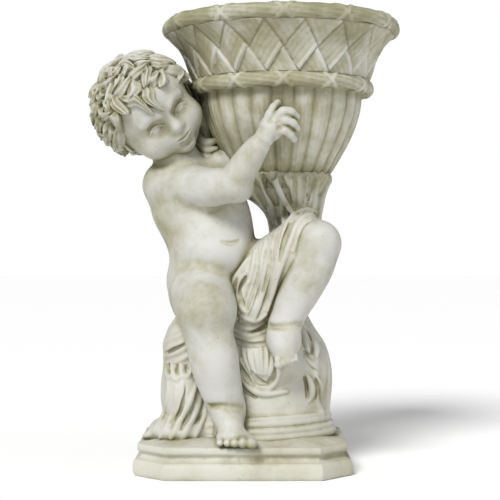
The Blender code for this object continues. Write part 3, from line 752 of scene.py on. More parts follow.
def column_folds(clay):
    """Gathers that fan out round the bowl's bottom in front, and run down the column on the other sides."""
    folds(
        clay,
        [(4.6, 39.2, 0.4), (5.4, 37.4, 0.5), (5.9, 34.4, 0.46), (6.0, 31.6, 0.36)],
        [(11.6, 39.1, 0.4), (10.7, 37.3, 0.5), (10.3, 34.2, 0.46), (9.6, 31.8, 0.36)],
        7,
        bend=0.06,
        sink=-0.1,
        soft=0.25,
    )
    folds(
        clay,
        [(-0.8, 38.2, 0.34), (1.2, 36.4, 0.46), (3.2, 34.0, 0.44), (4.3, 31.0, 0.34)],
        [(1.8, 38.9, 0.4), (3.4, 36.4, 0.5), (4.6, 33.6, 0.46), (5.2, 31.4, 0.34)],
        3,
        bend=0.06,
        sink=-0.3,
        soft=0.2,
    )
    ridges(clay, [[(4.2, 39.0, 0.36), (4.9, 37.2, 0.52), (6.1, 35.0, 0.5), (7.3, 33.0, 0.34)]], sink=-0.4)
    hollows(
        clay,
        [
            [(0.6, 38.2, 0.14), (2.2, 36.3, 0.44), (3.6, 34.0, 0.14)],
            [(2.9, 38.5, 0.2), (3.9, 36.7, 0.68), (5.0, 34.4, 0.26)],
            [(5.2, 38.6, 0.16), (6.0, 36.8, 0.56), (7.1, 34.6, 0.2)],
            [(7.4, 38.6, 0.1), (7.5, 36.6, 0.28), (7.6, 34.4, 0.1)],
            [(9.0, 38.6, 0.1), (8.9, 36.6, 0.28), (8.8, 34.4, 0.1)],
            [(10.4, 38.4, 0.1), (10.0, 36.8, 0.24), (9.6, 35.0, 0.1)],
        ],
        soft=0.25,
        sink=0.2,
    )
    folds(
        clay,
        [(62, 39.2, 0.45), (68, 36.4, 0.6), (84, 28.0, 0.6), (100, 19.0, 0.7)],
        [(252, 39.2, 0.45), (246, 36.4, 0.6), (226, 28.0, 0.6), (216, 19.0, 0.7)],
        15,
        axis=(6.4, 1.0),
        bend=1.6,
        sink=0.1,
        soft=0.35,
    )


def collar_notches(clay):
    """Notches of uneven depth along the cloth's upper edge, where the bowl's bottom shows between folds:
    they go down by a sum of two sines of their number."""
    for n in range(NOTCHES):
        angle = n * math.tau / NOTCHES
        drop = 0.4 * math.sin(3.1 * n) + 0.3 * math.sin(1.7 * n)
        middle = (5.7 + 7.8 * math.sin(angle), -7.8 * math.cos(angle), 39.4 - drop)
        clay.ball(middle, (0.45, 0.45, 1.1), soft=0.25, press=True)


def lap_folds(clay):
    """Long folds that sweep from the column over the lap and gather between the legs, with a nested pocket
    beside them, a tied band below, pleats under the band and a swag with open hollows."""
    folds(
        clay,
        [
            (1.8, 27.6, 0.3),
            (1.7, 25.6, 0.4),
            (1.2, 23.6, 0.4),
            (0.5, 21.6, 0.4),
            (-0.2, 19.6, 0.36),
            (-1.0, 17.6, 0.3),
        ],
        [
            (6.4, 31.6, 0.32),
            (5.6, 28.6, 0.42),
            (5.3, 25.8, 0.42),
            (4.7, 22.8, 0.42),
            (3.9, 19.8, 0.38),
            (2.8, 17.6, 0.3),
        ],
        7,
        bend=0.14,
        sink=-0.1,
        soft=0.22,
    )
    ridges(
        clay,
        [
            [
                (11.2, 32.2, 0.22),
                (9.8, 32.7, 0.42),
                (8.1, 31.8, 0.5),
                (7.1, 29.6, 0.5),
                (6.1, 27.0, 0.46),
                (5.2, 24.6, 0.4),
                (4.4, 21.6, 0.34),
                (3.6, 19.0, 0.28),
            ],
            [(10.8, 33.4, 0.22), (9.3, 33.7, 0.4), (7.4, 32.8, 0.42), (6.0, 30.6, 0.4), (5.5, 28.0, 0.32)],
            [(10.8, 31.6, 0.26), (9.0, 31.5, 0.36), (8.0, 29.9, 0.36), (7.2, 27.6, 0.26)],
            [
                (0.8, 26.4, 0.3),
                (-0.6, 24.4, 0.42),
                (-1.6, 22.2, 0.46),
                (-1.8, 19.8, 0.42),
                (-1.0, 17.9, 0.3),
            ],
            [
                (0.6, 24.6, 0.26),
                (-0.4, 23.4, 0.36),
                (-0.9, 21.6, 0.38),
                (-0.6, 19.8, 0.36),
                (0.3, 18.9, 0.28),
            ],
            [(0.7, 23.0, 0.24), (0.1, 21.9, 0.32), (0.2, 20.4, 0.28)],
            [(-1.7, 17.3, 0.32), (0.6, 16.3, 0.48), (3.0, 17.2, 0.36)],
            [(-1.5, 16.4, 0.3), (0.9, 15.2, 0.46), (3.5, 16.0, 0.34)],
            [(-0.4, 18.3, 0.26), (1.8, 17.4, 0.38), (3.4, 18.4, 0.28)],
        ],
        sink=-0.1,
    )
    hollows(
        clay,
        [
            [(-1.6, 14.9, 0.28), (0.8, 13.9, 0.5), (3.6, 14.4, 0.3)],
            [(-0.9, 23.6, 0.12), (-1.2, 21.6, 0.32), (-1.2, 20.0, 0.16)],
            [(0.5, 23.8, 0.12), (-0.3, 22.0, 0.34), (0.1, 20.2, 0.14)],
            [(1.6, 22.6, 0.1), (1.1, 20.8, 0.26), (0.7, 19.2, 0.1)],
            [(2.4, 26.0, 0.1), (2.1, 23.6, 0.28), (1.4, 21.2, 0.12)],
            [(4.0, 27.8, 0.1), (3.6, 24.6, 0.28), (2.9, 21.8, 0.12)],
            [(6.6, 31.4, 0.1), (5.7, 28.6, 0.26), (5.2, 26.0, 0.1)],
        ],
        soft=0.25,
        sink=0.2,
    )
    folds(
        clay,
        [(-0.9, 13.6, 0.24), (-0.6, 12.0, 0.34), (0.6, 10.0, 0.24)],
        [(4.4, 13.8, 0.24), (4.4, 12.0, 0.34), (3.9, 9.8, 0.24)],
        7,
        bend=0.05,
        sink=-0.1,
        soft=0.2,
    )
    ridges(
        clay,
        [
            [(-1.2, 12.2, 0.26), (-0.7, 9.8, 0.42), (0.8, 7.9, 0.52), (3.2, 6.9, 0.54), (6.3, 7.3, 0.36)],
            [(-0.4, 12.0, 0.22), (0.3, 9.9, 0.34), (1.6, 8.4, 0.4), (3.6, 7.8, 0.34)],
            [(5.2, 12.2, 0.24), (5.2, 10.0, 0.38), (4.6, 8.4, 0.36), (3.4, 7.4, 0.28)],
        ],
        sink=-0.1,
    )
    hollows(
        clay,
        [
            [(-0.3, 11.2, 0.14), (0.4, 9.4, 0.42), (1.6, 8.3, 0.18)],
            [(1.3, 10.2, 0.16), (2.2, 8.9, 0.5), (3.2, 8.5, 0.22)],
            [(4.6, 10.8, 0.14), (4.3, 9.4, 0.4), (3.6, 8.5, 0.18)],
            [(-1.0, 9.4, 0.1), (0.2, 7.6, 0.3), (2.0, 6.4, 0.12)],
        ],
        soft=0.22,
        sink=0.3,
    )


def side_folds(clay):
    """Drawn folds and loops under the right thigh, the long folds below them, the ragged edge beside the
    foot, and the pleats behind."""
    ridges(
        clay,
        [
            [(-7.4, 16.2, 0.3), (-9.2, 15.3, 0.42), (-11.0, 14.5, 0.34)],
            [(-7.3, 15.2, 0.3), (-9.3, 14.1, 0.44), (-11.2, 13.1, 0.36)],
            [(-7.2, 14.2, 0.3), (-9.2, 13.0, 0.42), (-11.3, 12.0, 0.36)],
            [(-7.1, 13.0, 0.3), (-8.8, 11.9, 0.4), (-11.0, 11.2, 0.34)],
            [
                (-11.0, 11.4, 0.3),
                (-11.1, 10.2, 0.42),
                (-10.8, 9.2, 0.42),
                (-10.3, 9.6, 0.38),
                (-10.1, 10.9, 0.3),
            ],
            [
                (-10.1, 10.9, 0.3),
                (-10.0, 9.4, 0.42),
                (-9.4, 9.0, 0.42),
                (-9.0, 9.8, 0.36),
                (-8.8, 11.0, 0.28),
            ],
            [(-8.8, 11.0, 0.28), (-8.7, 9.8, 0.38), (-8.0, 9.4, 0.4), (-7.3, 10.6, 0.3)],
            [(-6.4, 9.2, 0.34), (-7.6, 5.8, 0.46), (-9.2, 2.8, 0.5), (-10.2, 0.8, 0.4)],
            [(-5.6, 8.4, 0.34), (-6.4, 5.2, 0.46), (-7.7, 2.4, 0.5), (-8.6, 0.6, 0.42)],
            [(-5.2, 6.4, 0.3), (-5.5, 3.8, 0.42), (-6.6, 1.4, 0.44), (-7.0, 0.5, 0.36)],
            [(-10.8, 8.6, 0.26), (-10.8, 6.0, 0.36), (-11.8, 3.2, 0.4), (-13.2, 0.9, 0.4)],
            [(-9.6, 8.0, 0.22), (-9.6, 5.4, 0.3), (-10.7, 2.8, 0.34), (-11.8, 0.8, 0.32)],
            [(-8.6, 8.6, 0.2), (-8.8, 6.0, 0.28), (-9.9, 3.2, 0.3)],
        ],
        soft=0.3,
        sink=0.1,
    )
    hollows(
        clay,
        [
            [(-10.6, 11.1, 0.16), (-10.6, 10.3, 0.3), (-10.5, 9.9, 0.18)],
            [(-9.4, 11.0, 0.16), (-9.4, 10.3, 0.32), (-9.3, 9.8, 0.18)],
            [(-8.1, 11.0, 0.16), (-8.0, 10.5, 0.28), (-7.9, 10.1, 0.18)],
            [(-8.2, 14.2, 0.12), (-9.8, 13.4, 0.28), (-10.9, 12.8, 0.14)],
            [(-6.6, 7.0, 0.15), (-7.5, 4.4, 0.26), (-8.8, 2.0, 0.15)],
            [(-8.2, 8.0, 0.1), (-8.8, 5.0, 0.22), (-10.2, 2.2, 0.12)],
        ],
        soft=0.25,
        sink=0.2,
    )
    folds(
        clay,
        [(66, 17.4, 0.6), (70, 12.4, 0.7), (66, 7.0, 0.7), (70, 3.8, 0.5)],
        [(288, 17.4, 0.6), (290, 12.4, 0.7), (286, 7.0, 0.7), (288, 3.8, 0.5)],
        17,
        axis=(0.6, 0.4),
        bend=2.4,
        soft=0.5,
    )
    folds(
        clay,
        [(100, 19.6, 0.5), (140, 16.6, 0.6), (180, 15.4, 0.65), (220, 16.8, 0.6), (256, 19.6, 0.5)],
        [(100, 14.0, 0.4), (140, 10.2, 0.6), (180, 8.6, 0.65), (220, 10.4, 0.6), (256, 14.0, 0.4)],
        3,
        axis=(0.6, 0.4),
        soft=0.4,
    )


def stump_flaps(clay):
    """The ragged leafy edge of the cloth at the stump's right: two groups of leaves with clefts between."""
    ridges(
        clay,
        [
            [(8.0, 16.6, 0.2), (8.9, 15.4, 0.55), (9.4, 13.9, 0.62), (9.6, 12.6, 0.2)],
            [(9.6, 15.8, 0.2), (10.3, 14.5, 0.52), (10.8, 13.0, 0.52), (10.7, 11.8, 0.2)],
            [(9.0, 12.2, 0.2), (9.9, 11.3, 0.5), (10.9, 10.3, 0.22)],
            [(9.2, 9.8, 0.2), (9.9, 8.3, 0.52), (10.1, 6.8, 0.5), (9.6, 5.5, 0.2)],
            [(10.8, 9.2, 0.2), (11.4, 7.7, 0.5), (11.4, 6.2, 0.22)],
        ],
        soft=0.15,
        sink=-0.5,
    )
    hollows(
        clay,
        [
            [(9.4, 15.2, 0.1), (9.9, 13.9, 0.34), (10.1, 12.4, 0.12)],
            [(8.9, 12.9, 0.12), (9.6, 12.1, 0.3), (10.4, 11.3, 0.12)],
            [(10.6, 8.8, 0.1), (10.8, 7.4, 0.32), (10.6, 6.0, 0.1)],
            [(8.9, 9.2, 0.1), (9.2, 7.8, 0.28), (9.2, 6.2, 0.1)],
        ],
        soft=0.2,
        sink=0.4,
    )


def hem(clay):
    """The cloth's hem on the plinth: a low rippled edge that curls forward at the left corner."""
    for n in range(5):
        x = -13.4 + 1.6 * n
        y = -4.6 - 1.0 * n + 0.1 * n * n
        clay.limb([(x - 1.0, y, 0.4, 0.4), (x, y - 0.7, 0.8, 0.6), (x + 1.0, y - 0.3, 0.4, 0.4)], soft=0.5)


def shoulder_cloth(clay):
    """The end of the cloth that comes over the shoulder between head and bowl, with its knot."""
    clay.limb([(-6.6, 1.8, 44.0, 1.2), (-7.2, 2.2, 47.4, 1.1), (-7.0, 1.4, 51.6, 0.9)], soft=0.4)
    clay.limb([(-3.6, 1.2, 40.6, 2.2), (-5.2, 1.6, 43.2, 1.7), (-6.6, 1.8, 46.0, 1.2)], soft=0.6)
    for n in range(4):
        share = n / 3
        clay.limb(
            between(
                [(-5.6, -0.8, 41.6, 0.7), (-6.7, -0.3, 45.0, 0.62), (-6.7, 0.4, 50.4, 0.5)],
                [(-4.0, -1.7, 41.6, 0.7), (-5.2, -1.5, 43.8, 0.62), (-5.7, -0.6, 47.4, 0.5)],
                share,
            ),
            soft=0.25,
        )
    for n in range(3):
        drop = 1.15 * n
        clay.limb(
            [
                (-6.9, -2.3, 44.6 - drop, 0.45),
                (-5.5, -3.1, 43.6 - drop, 0.6),
                (-4.0, -3.0, 43.8 - drop, 0.45),
            ],
            soft=0.25,
        )


def bowl_room(clay):
    """Takes away what would fill the hollow bowl: all that is nearer to its axis than its wall's middle."""
    spans, x, y, z = clay.window((-9.0, -13.0, 37.0), (15.5, 13.0, 53.0))
    height = z * UNIT + PLINTH_HEIGHT
    room = wall_radius(height) - (RIB_DEPTH + WALL) / 2
    shape = np.maximum(np.hypot(x * UNIT - BASKET_X, y * UNIT) - room, FOOT_Z + FLOOR / 2 - height) / UNIT
    clay.join(spans, shape.astype(np.float32), soft=0.05, press=True)


def head_shape(clay):
    """Skull, full cheeks, small chin and the roll under it, on the plain proportions of an infant's head."""
    clay.ball((0, -0.5, 0.9), (6.25, 6.8, 6.5), soft=0.5)
    clay.ball((0, 1.4, 2.4), (5.3, 4.9, 4.4), soft=1.5)
    clay.ball((0, 1.2, -2.3), (5.2, 5.1, 4.3), soft=1.6)
    clay.ball((0, 1.4, -5.2), (3.7, 3.4, 2.2), soft=1.2)
    for way in (-1, 1):
        clay.ball((way * 2.85, 3.5, -2.8), (2.6, 2.3, 2.3), soft=1.3)
    clay.ball((0, 4.95, -3.5), (2.1, 1.35, 1.6), soft=1.2)
    clay.ball((0, 4.9, -5.35), (1.55, 1.35, 1.15), soft=0.9)


def laid_on_face(clay, stations, sink):
    """(across, up, radius) stations laid on the front of the head, sunk in by a share of their radius."""
    rows = np.asarray(stations, dtype=float)
    starts = np.stack([rows[:, 0], np.full(len(rows), 8.6), rows[:, 1]], axis=1)
    ahead = np.tile(clay.turned[1], (len(rows), 1))
    spots, met = clay.first_inside(starts @ clay.turned + clay.middle, -ahead, 9)
    spots = (spots - clay.middle) @ clay.turned.T
    spots[:, 1] -= sink * rows[:, 2]
    return np.column_stack([spots, rows[:, 2]])[met]


def eyes(clay):
    """Shallow sockets, round eyeballs between a thick upper and a fine lower lid, and soft brows."""
    for way in (-1, 1):
        clay.ball((way * 2.3, 6.5, -0.42), (1.55, 1.25, 1.02), soft=1.0, press=True)
    for way in (-1, 1):
        clay.ball((way * 2.25, 4.62, -0.55), (1.25, 1.15, 1.05), soft=0.12)
    for way in (-1, 1):
        upper = [
            (1.12, -0.78, 0.16),
            (1.6, -0.2, 0.23),
            (2.3, 0.06, 0.27),
            (3.0, -0.14, 0.23),
            (3.5, -0.62, 0.14),
        ]
        lower = [
            (1.12, -0.82, 0.12),
            (1.7, -1.08, 0.15),
            (2.3, -1.2, 0.17),
            (2.95, -1.06, 0.15),
            (3.5, -0.66, 0.12),
        ]
        fold = [(1.3, 0.34, 0.12), (2.3, 0.68, 0.15), (3.3, 0.32, 0.12)]
        brow = [(0.95, 1.1, 0.2), (2.2, 1.65, 0.32), (3.7, 1.15, 0.2)]
        for stations, sink, soft, press in (
            (fold, -0.4, 0.3, True),
            (brow, 0.6, 0.8, False),
            (lower, 0.1, 0.16, False),
            (upper, 0.1, 0.12, False),
        ):
            path = laid_on_face(clay, [(way * across, up, radius) for across, up, radius in stations], sink)
            clay.limb(path, soft=soft, press=press)


def nose(clay):
    """A short button nose: low bridge, round tip, and small wings over the nostrils."""
    clay.limb([(0, 5.5, 0.2, 0.5), (0, 6.0, -0.9, 0.58), (0, 6.55, -1.85, 0.82)], soft=0.9)
    for way in (-1, 1):
        clay.ball((way * 0.86, 6.05, -2.15), (0.5, 0.62, 0.46), soft=0.3)
        clay.ball((way * 0.54, 6.2, -2.68), (0.15, 0.22, 0.13), soft=0.06, press=True)


def mouth(clay):
    """A small calm mouth: bowed upper lip, fuller lower lip and the closed line between them."""
    line = [
        (-1.3, -3.62, 0.04), (-0.6, -3.68, 0.09), (0, -3.76, 0.09), (0.6, -3.68, 0.09), (1.3, -3.62, 0.04)
    ]
    upper = [
        (-1.2, -3.6, 0.12), (-0.42, -3.36, 0.3), (0, -3.43, 0.27), (0.42, -3.36, 0.3), (1.2, -3.6, 0.12)
    ]
    lower = [(-0.95, -3.88, 0.2), (0, -4.1, 0.42), (0.95, -3.88, 0.2)]
    for path in [laid_on_face(clay, stations, 0.15) for stations in (upper, lower)]:
        clay.limb(path, soft=0.35)
    clay.limb(laid_on_face(clay, line, -0.1), soft=0.14, press=True)
    clay.limb(laid_on_face(clay, [(-0.6, -4.75, 0.2), (0.6, -4.75, 0.2)], -0.5), soft=0.7, press=True)


def ears(clay):
    """Small round ears: a disc with a rolled edge, a pressed hollow and a lobe."""
    for way in (-1, 1):
        clay.ball((way * 5.75, 0.0, -1.3), (0.6, 1.1, 1.5), soft=0.3)
        edge = [
            (6.1, 0.95, -1.9), (6.35, 0.85, -0.6), (6.35, -0.1, 0.1), (6.3, -0.95, -0.6), (6.1, -0.7, -1.9)
        ]
        clay.limb([(way * a, f, u, 0.26) for a, f, u in edge], soft=0.15)
        clay.ball((way * 6.0, 0.15, -2.55), (0.42, 0.5, 0.5), soft=0.25)
        clay.ball((way * 6.5, 0.1, -1.1), (0.35, 0.5, 0.65), soft=0.2, press=True)


def has_hair(out):
    """Whether a direction from the crown's middle is under the hair: not the face, ears or throat."""
    return not (out[1] > 0.35 and out[2] < 0.37 or out[1] > -0.05 and out[2] < -0.28)


def lock(clay, out, n):
    """One tuft of hair: a bent leaf laid on the scalp. Its height over the scalp, at u along and v across
    it, is a lift that grows with u, plus 1 - (v / half width)^2 times its thickness, plus its strands."""
    away = unit(out * (WHORL @ out) - WHORL)
    heading = 0.9 * math.sin(2.7 * n)
    ahead = away * math.cos(heading) + np.cross(out, away) * math.sin(heading)
    aside = np.cross(out, ahead)
    length = LOCK_LENGTH * (1 + 0.2 * math.sin(1.7 * n))
    bend = (1 if math.sin(5.1 * n) > 0 else -1) * (0.36 + 0.12 * math.sin(1.3 * n))
    middle = CROWN + out * LOCK_REACH
    spans, x, y, z = clay.window(middle - 0.8 * length, middle + 0.8 * length)
    x, y, z = x - CROWN[0], y - CROWN[1], z - CROWN[2]
    radius = np.sqrt(x * x + y * y + z * z)
    scalp = LOCK_REACH + BROW_REACH * ease(y / radius, 0.15, 0.85)
    u = (x * ahead[0] + y * ahead[1] + z * ahead[2]) * (LOCK_REACH / radius)
    v = (x * aside[0] + y * aside[1] + z * aside[2]) * (LOCK_REACH / radius)
    v = v - bend * u * np.abs(u) - 0.14 * np.sin(2.4 * u + n)
    share = u / length + 0.5
    held = np.clip(share, 0.0, 1.0)
    half = LOCK_WIDTH * (0.25 + 1.3 * np.sqrt(held) * (1 - held) ** 0.6)
    side = v / half
    strands = 0.15 * np.cos((2.0 + n % 2) * math.pi * side + 0.8 * math.sin(n)) * (side * side < 1.3)
    lift = -0.8 + 1.2 * np.sin(1.9 * held) + 0.2 * math.sin(3.9 * n)
    rise = lift + 0.85 * (1 - side * side) + strands - 9 * np.maximum(np.abs(2 * share - 1) - 1, 0)
    clay.join(spans, 0.75 * (radius - scalp - np.maximum(rise, -2.0)), soft=0.12, press=False)


def hair(clay):
    """A cap of hair with short tousled locks all over it, at even steps of height down from the crown and
    a golden turn from one to the next."""
    clay.ball(CROWN + (0, -0.3, 0.1), (6.4, 6.3, 6.4), soft=0.2)
    for n in range(LOCKS):
        level = 1 - 1.62 * (n + 0.5) / LOCKS
        ring = math.sqrt(1 - level * level)
        out = np.array([ring * math.cos(n * GOLDEN_TURN), ring * math.sin(n * GOLDEN_TURN), level])
        if has_hair(out):
            lock(clay, out, n)


def hair_recess_darkening(points):
    """How strongly the head's recesses are darkened, as wash and painted shade: fully in the hair, and 0.3
    less on the open face, by the direction from the crown's middle."""
    out = unit((points - HEAD_MIDDLE) @ HEAD_ROWS.T - CROWN)
    return 1.0 - 0.3 * (ease(out[:, 1], 0.2, 0.5) * (1 - ease(out[:, 2], 0.12, 0.4)))


def grid_faces(rows, columns):
    """Four-sided faces over a grid whose last column meets its first, wound to face outwards going up."""
    row, column = np.meshgrid(np.arange(rows - 1), np.arange(columns), indexing="ij")
    after = (column + 1) % columns
    ring = [
        row * columns + column,
        row * columns + after,
        (row + 1) * columns + after,
        (row + 1) * columns + column,
    ]
    return np.stack(ring, axis=-1).reshape(-1, 4)


def closed_sweep(name, points):
    """A closed mesh from rings of points, bottom to top, whose two ends are closed by a fan of triangles."""
    rows, columns = points.shape[:2]
    ends = np.stack([points[0].mean(axis=0), points[-1].mean(axis=0)])
    quads = grid_faces(rows, columns)
    halves = np.vstack([quads[:, [0, 1, 2]], quads[:, [0, 2, 3]]])
    column = np.arange(columns)
    after = (column + 1) % columns
    top = (rows - 1) * columns
    low_fan = np.stack([after, column, np.full(columns, rows * columns)], axis=1)
    high_fan = np.stack([top + column, top + after, np.full(columns, rows * columns + 1)], axis=1)
    return mesh_of(name, np.vstack([points.reshape(-1, 3), ends]), np.vstack([halves, low_fan, high_fan]))


def with_ends(values):
    """A grid's values as one row, with its two end points' values after them."""
    return np.concatenate([values.ravel(), [values[0].mean(), values[-1].mean()]])


def flare(share):
    """How far the woven wall has opened at a share of its height."""
    return 0.35 * share + 0.65 * share * share


def bowl_wall(turn):
    """The ribbed bowl: radius = foot + spread * sin(share * quarter turn)^1.1, less the ribs' valleys."""
    share = np.linspace(0, 1, 34)[:, None]
    rib = np.abs(np.cos(math.pi * RIBS * turn)) ** 0.8 - 1
    strength = np.minimum(1, 3 * share)
    base = FOOT_RADIUS + (BOWL_RADIUS - FOOT_RADIUS) * np.sin(share * math.pi / 2) ** 1.1
    fine = 0.0003 * np.cos(math.tau * RIBS * 4 * turn + 5 * share)
    radius = base + RIB_DEPTH * rib * strength + fine
    height = FOOT_Z + (BOWL_HEIGHT - BAND_ROPE) * share + 0 * turn
    # Darker in the rib valleys, as wash and painted shade, with a painted shadow under the band rope at the
    # top
    hollow = 0.22 + 0.5 * np.clip(-rib, 0, 1) ** 1.6 + 0.5 * ease(share, 0.88, 1.0)
    return radius, height, hollow


def bindings(turn, angle, ring_radius):
    """Crossed ribbons round a rope: 1 where the arc length from a binding is within a ribbon's width of
    plus or minus the way round the rope."""
    from_binding = (BINDINGS * turn - np.round(BINDINGS * turn)) / BINDINGS * math.tau * ring_radius
    slant = 0.0085 * angle
    gap = np.minimum(np.abs(from_binding - slant), np.abs(from_binding + slant))
    return 1 - ease(gap, RIBBON_WIDTH * 0.75, RIBBON_WIDTH)


def rope(turn, ring_radius, ring_height, tube, angles):
    """A round moulding of reeds laid side by side, slightly twisted, tied with crossed ribbons."""
    angle = angles[:, None]
    reeds = np.abs(np.sin(4.5 * angle + 9 * math.tau * turn))
    ribbon = bindings(turn, angle, ring_radius)
    tube = tube - 0.0007 + 0.0011 * reeds * (1 - ribbon) + RIBBON_DEPTH * ribbon
    hollow = 0.2 + (1 - ribbon) * (0.55 - 0.4 * reeds) + 0.45 * np.abs(np.sin(angle)) ** 6
    return ring_radius + tube * np.cos(angle), ring_height + tube * np.sin(angle), hollow + 0 * turn


def woven_wall(turn):
    """The plaited wall: slanting strips one way and the other. With p = strips * turn + share and
    q = strips * turn - share, the strip on top arches along one of them, is reeded across the other and
    leans so that one edge stands proud of its neighbour, as flat plaited strips do."""
    share = np.linspace(0, 1, 46)[:, None]
    rising, falling = STRIPS * turn + share, STRIPS * turn - share
    odd = (np.floor(rising) + np.floor(falling)) % 2 == 1
    uneven = np.sin(12.9 * np.floor(rising) + 7.8 * np.floor(falling))
    across, along = rising % 1, falling % 1
    across, along = np.where(odd, along, across), np.where(odd, across, along)
    edge = (0.25 + 0.75 * across) * ease(across, 0.0, 0.12) * (1 - ease(across, 0.95, 1.0))
    arch = 0.5 + 0.5 * np.sin(math.pi * along) ** 0.6
    reeds = np.abs(np.sin(REEDS * math.pi * across)) ** 0.7
    relief = STRIP_DEPTH * (edge * arch * (1.5 + 0.25 * uneven) - 0.3) + REED_DEPTH * reeds * arch
    radius = BAND_RADIUS + (RIM_RADIUS - BAND_RADIUS) * flare(share) + relief
    low, high = FOOT_Z + BOWL_HEIGHT + BAND_ROPE, FOOT_Z + BOWL_HEIGHT + BASKET_HEIGHT - RIM_ROPE
    # Painted highlight on each strip's proud edge, painted shade in the gap at its low edge, lighter reed
    # crests
    hollow = 0.5 - 0.62 * ease(across, 0.74, 0.92) + 0.35 * (1 - ease(across, 0.0, 0.12)) - 0.12 * reeds
    return radius, low + (high - low) * share + 0 * turn, hollow + 0.12 * uneven


def inner_wall(turn):
    """The plain inside of the bowl, from the rim down to its floor and in to the middle."""
    band, rim = FOOT_Z + BOWL_HEIGHT, FOOT_Z + BOWL_HEIGHT + BASKET_HEIGHT
    floor = FOOT_Z + FLOOR
    inner_bowl = BOWL_RADIUS - RIB_DEPTH - WALL
    foot_share = (FOOT_RADIUS - WALL) / inner_bowl
    upper = np.linspace(1, 0, 9)[1:, None]
    upper_radius = inner_bowl + (RIM_RADIUS - RIM_ROPE * 0.6 - inner_bowl) * flare(upper)
    lower = np.linspace(1, 0, 12)[1:, None]
    lower_radius = inner_bowl * (foot_share + (1 - foot_share) * np.sin(lower * math.pi / 2) ** 1.1)
    base = np.array([[0.66], [0.33]])
    base_radius = (FOOT_RADIUS - WALL) * base
    radius = np.vstack([upper_radius, lower_radius, base_radius]) + 0 * turn
    height = np.vstack(
        [band + (rim - band) * upper, floor + (band - floor) * lower, floor + 0 * base]
    ) + 0 * turn
    # Painted shade that deepens down into the bowl, darkest on its floor
    hollow = np.vstack([0.3 + 0.4 * (1 - upper), 0.7 + 0.2 * (1 - lower), 0.9 + 0 * base]) + 0 * turn
    return radius, height, hollow


def basket(material, surroundings):
    """The basket bowl: its sections stacked, carried round its axis, and dented a little by hand."""
    turn = np.linspace(0, 1, BASKET_COLUMNS, endpoint=False)[None, :]
    band, rim = FOOT_Z + BOWL_HEIGHT, FOOT_Z + BOWL_HEIGHT + BASKET_HEIGHT
    parts = [
        bowl_wall(turn),
        rope(turn, BAND_RADIUS, band, BAND_ROPE, np.linspace(-1.4, 1.4, 13)),
        woven_wall(turn),
        rope(turn, RIM_RADIUS, rim, RIM_ROPE, np.linspace(-1.4, 3.3, 19)),
        inner_wall(turn),
    ]
    radius, height, hollow = (np.vstack([part[n] for part in parts]) for n in range(3))
    points = np.stack(
        [BASKET_X + radius * np.cos(math.tau * turn), radius * np.sin(math.tau * turn), height], axis=-1
    )
    dent = 0.0009 * hills_at(points, 0.05, 3) + 0.0004 * hills_at(points, 0.014, 4)
    points[..., :2] += dent[..., None] * np.stack(
        [np.cos(math.tau * turn), np.sin(math.tau * turn)], axis=-1
    )
    mesh = closed_sweep("basket_bowl", points)
    near = shade_and_wash_of(*points_and_normals(mesh), surroundings)
    return piece("basket_bowl", mesh, material, with_ends(hollow) * 0.75 + near)


def plinth_rings(insets):
    """The plinth's plan drawn in by each inset: eight sides, whose corners are arcs of the edge's rounding.
    Each side's points are spread evenly between its two arcs."""
    inset = np.asarray(insets)[:, None] + EDGE_ROUNDING
    x, y = PLINTH_WIDTH / 2 - inset, PLINTH_DEPTH / 2 - inset
    corner = PLINTH_CORNER - inset * (2 - math.sqrt(2))
    quarter = [(x, y - corner), (x - corner, y)]
    mirrored = [(-a, b) for a, b in reversed(quarter)]
    corners = quarter + mirrored + [(-a, -b) for a, b in quarter] + [(-a, -b) for a, b in mirrored]
    arc = np.linspace(0, math.pi / 4, 5)[None, :]
    arcs = []
    for n, (a, b) in enumerate(corners):
        turned = arc + n * math.pi / 4
        arcs.append(np.stack([a + EDGE_ROUNDING * np.cos(turned), b + EDGE_ROUNDING * np.sin(turned)], -1))
    counts = (24, 84, 24, 64)
    ring = []
    for n, here in enumerate(arcs):
        after = arcs[(n + 1) % 8]
        share = np.linspace(0, 1, counts[n % 4] + 2)[1:-1][None, :, None]
        ring += [here, here[:, -1:] * (1 - share) + after[:, :1] * share]
    return np.concatenate(ring, axis=1)


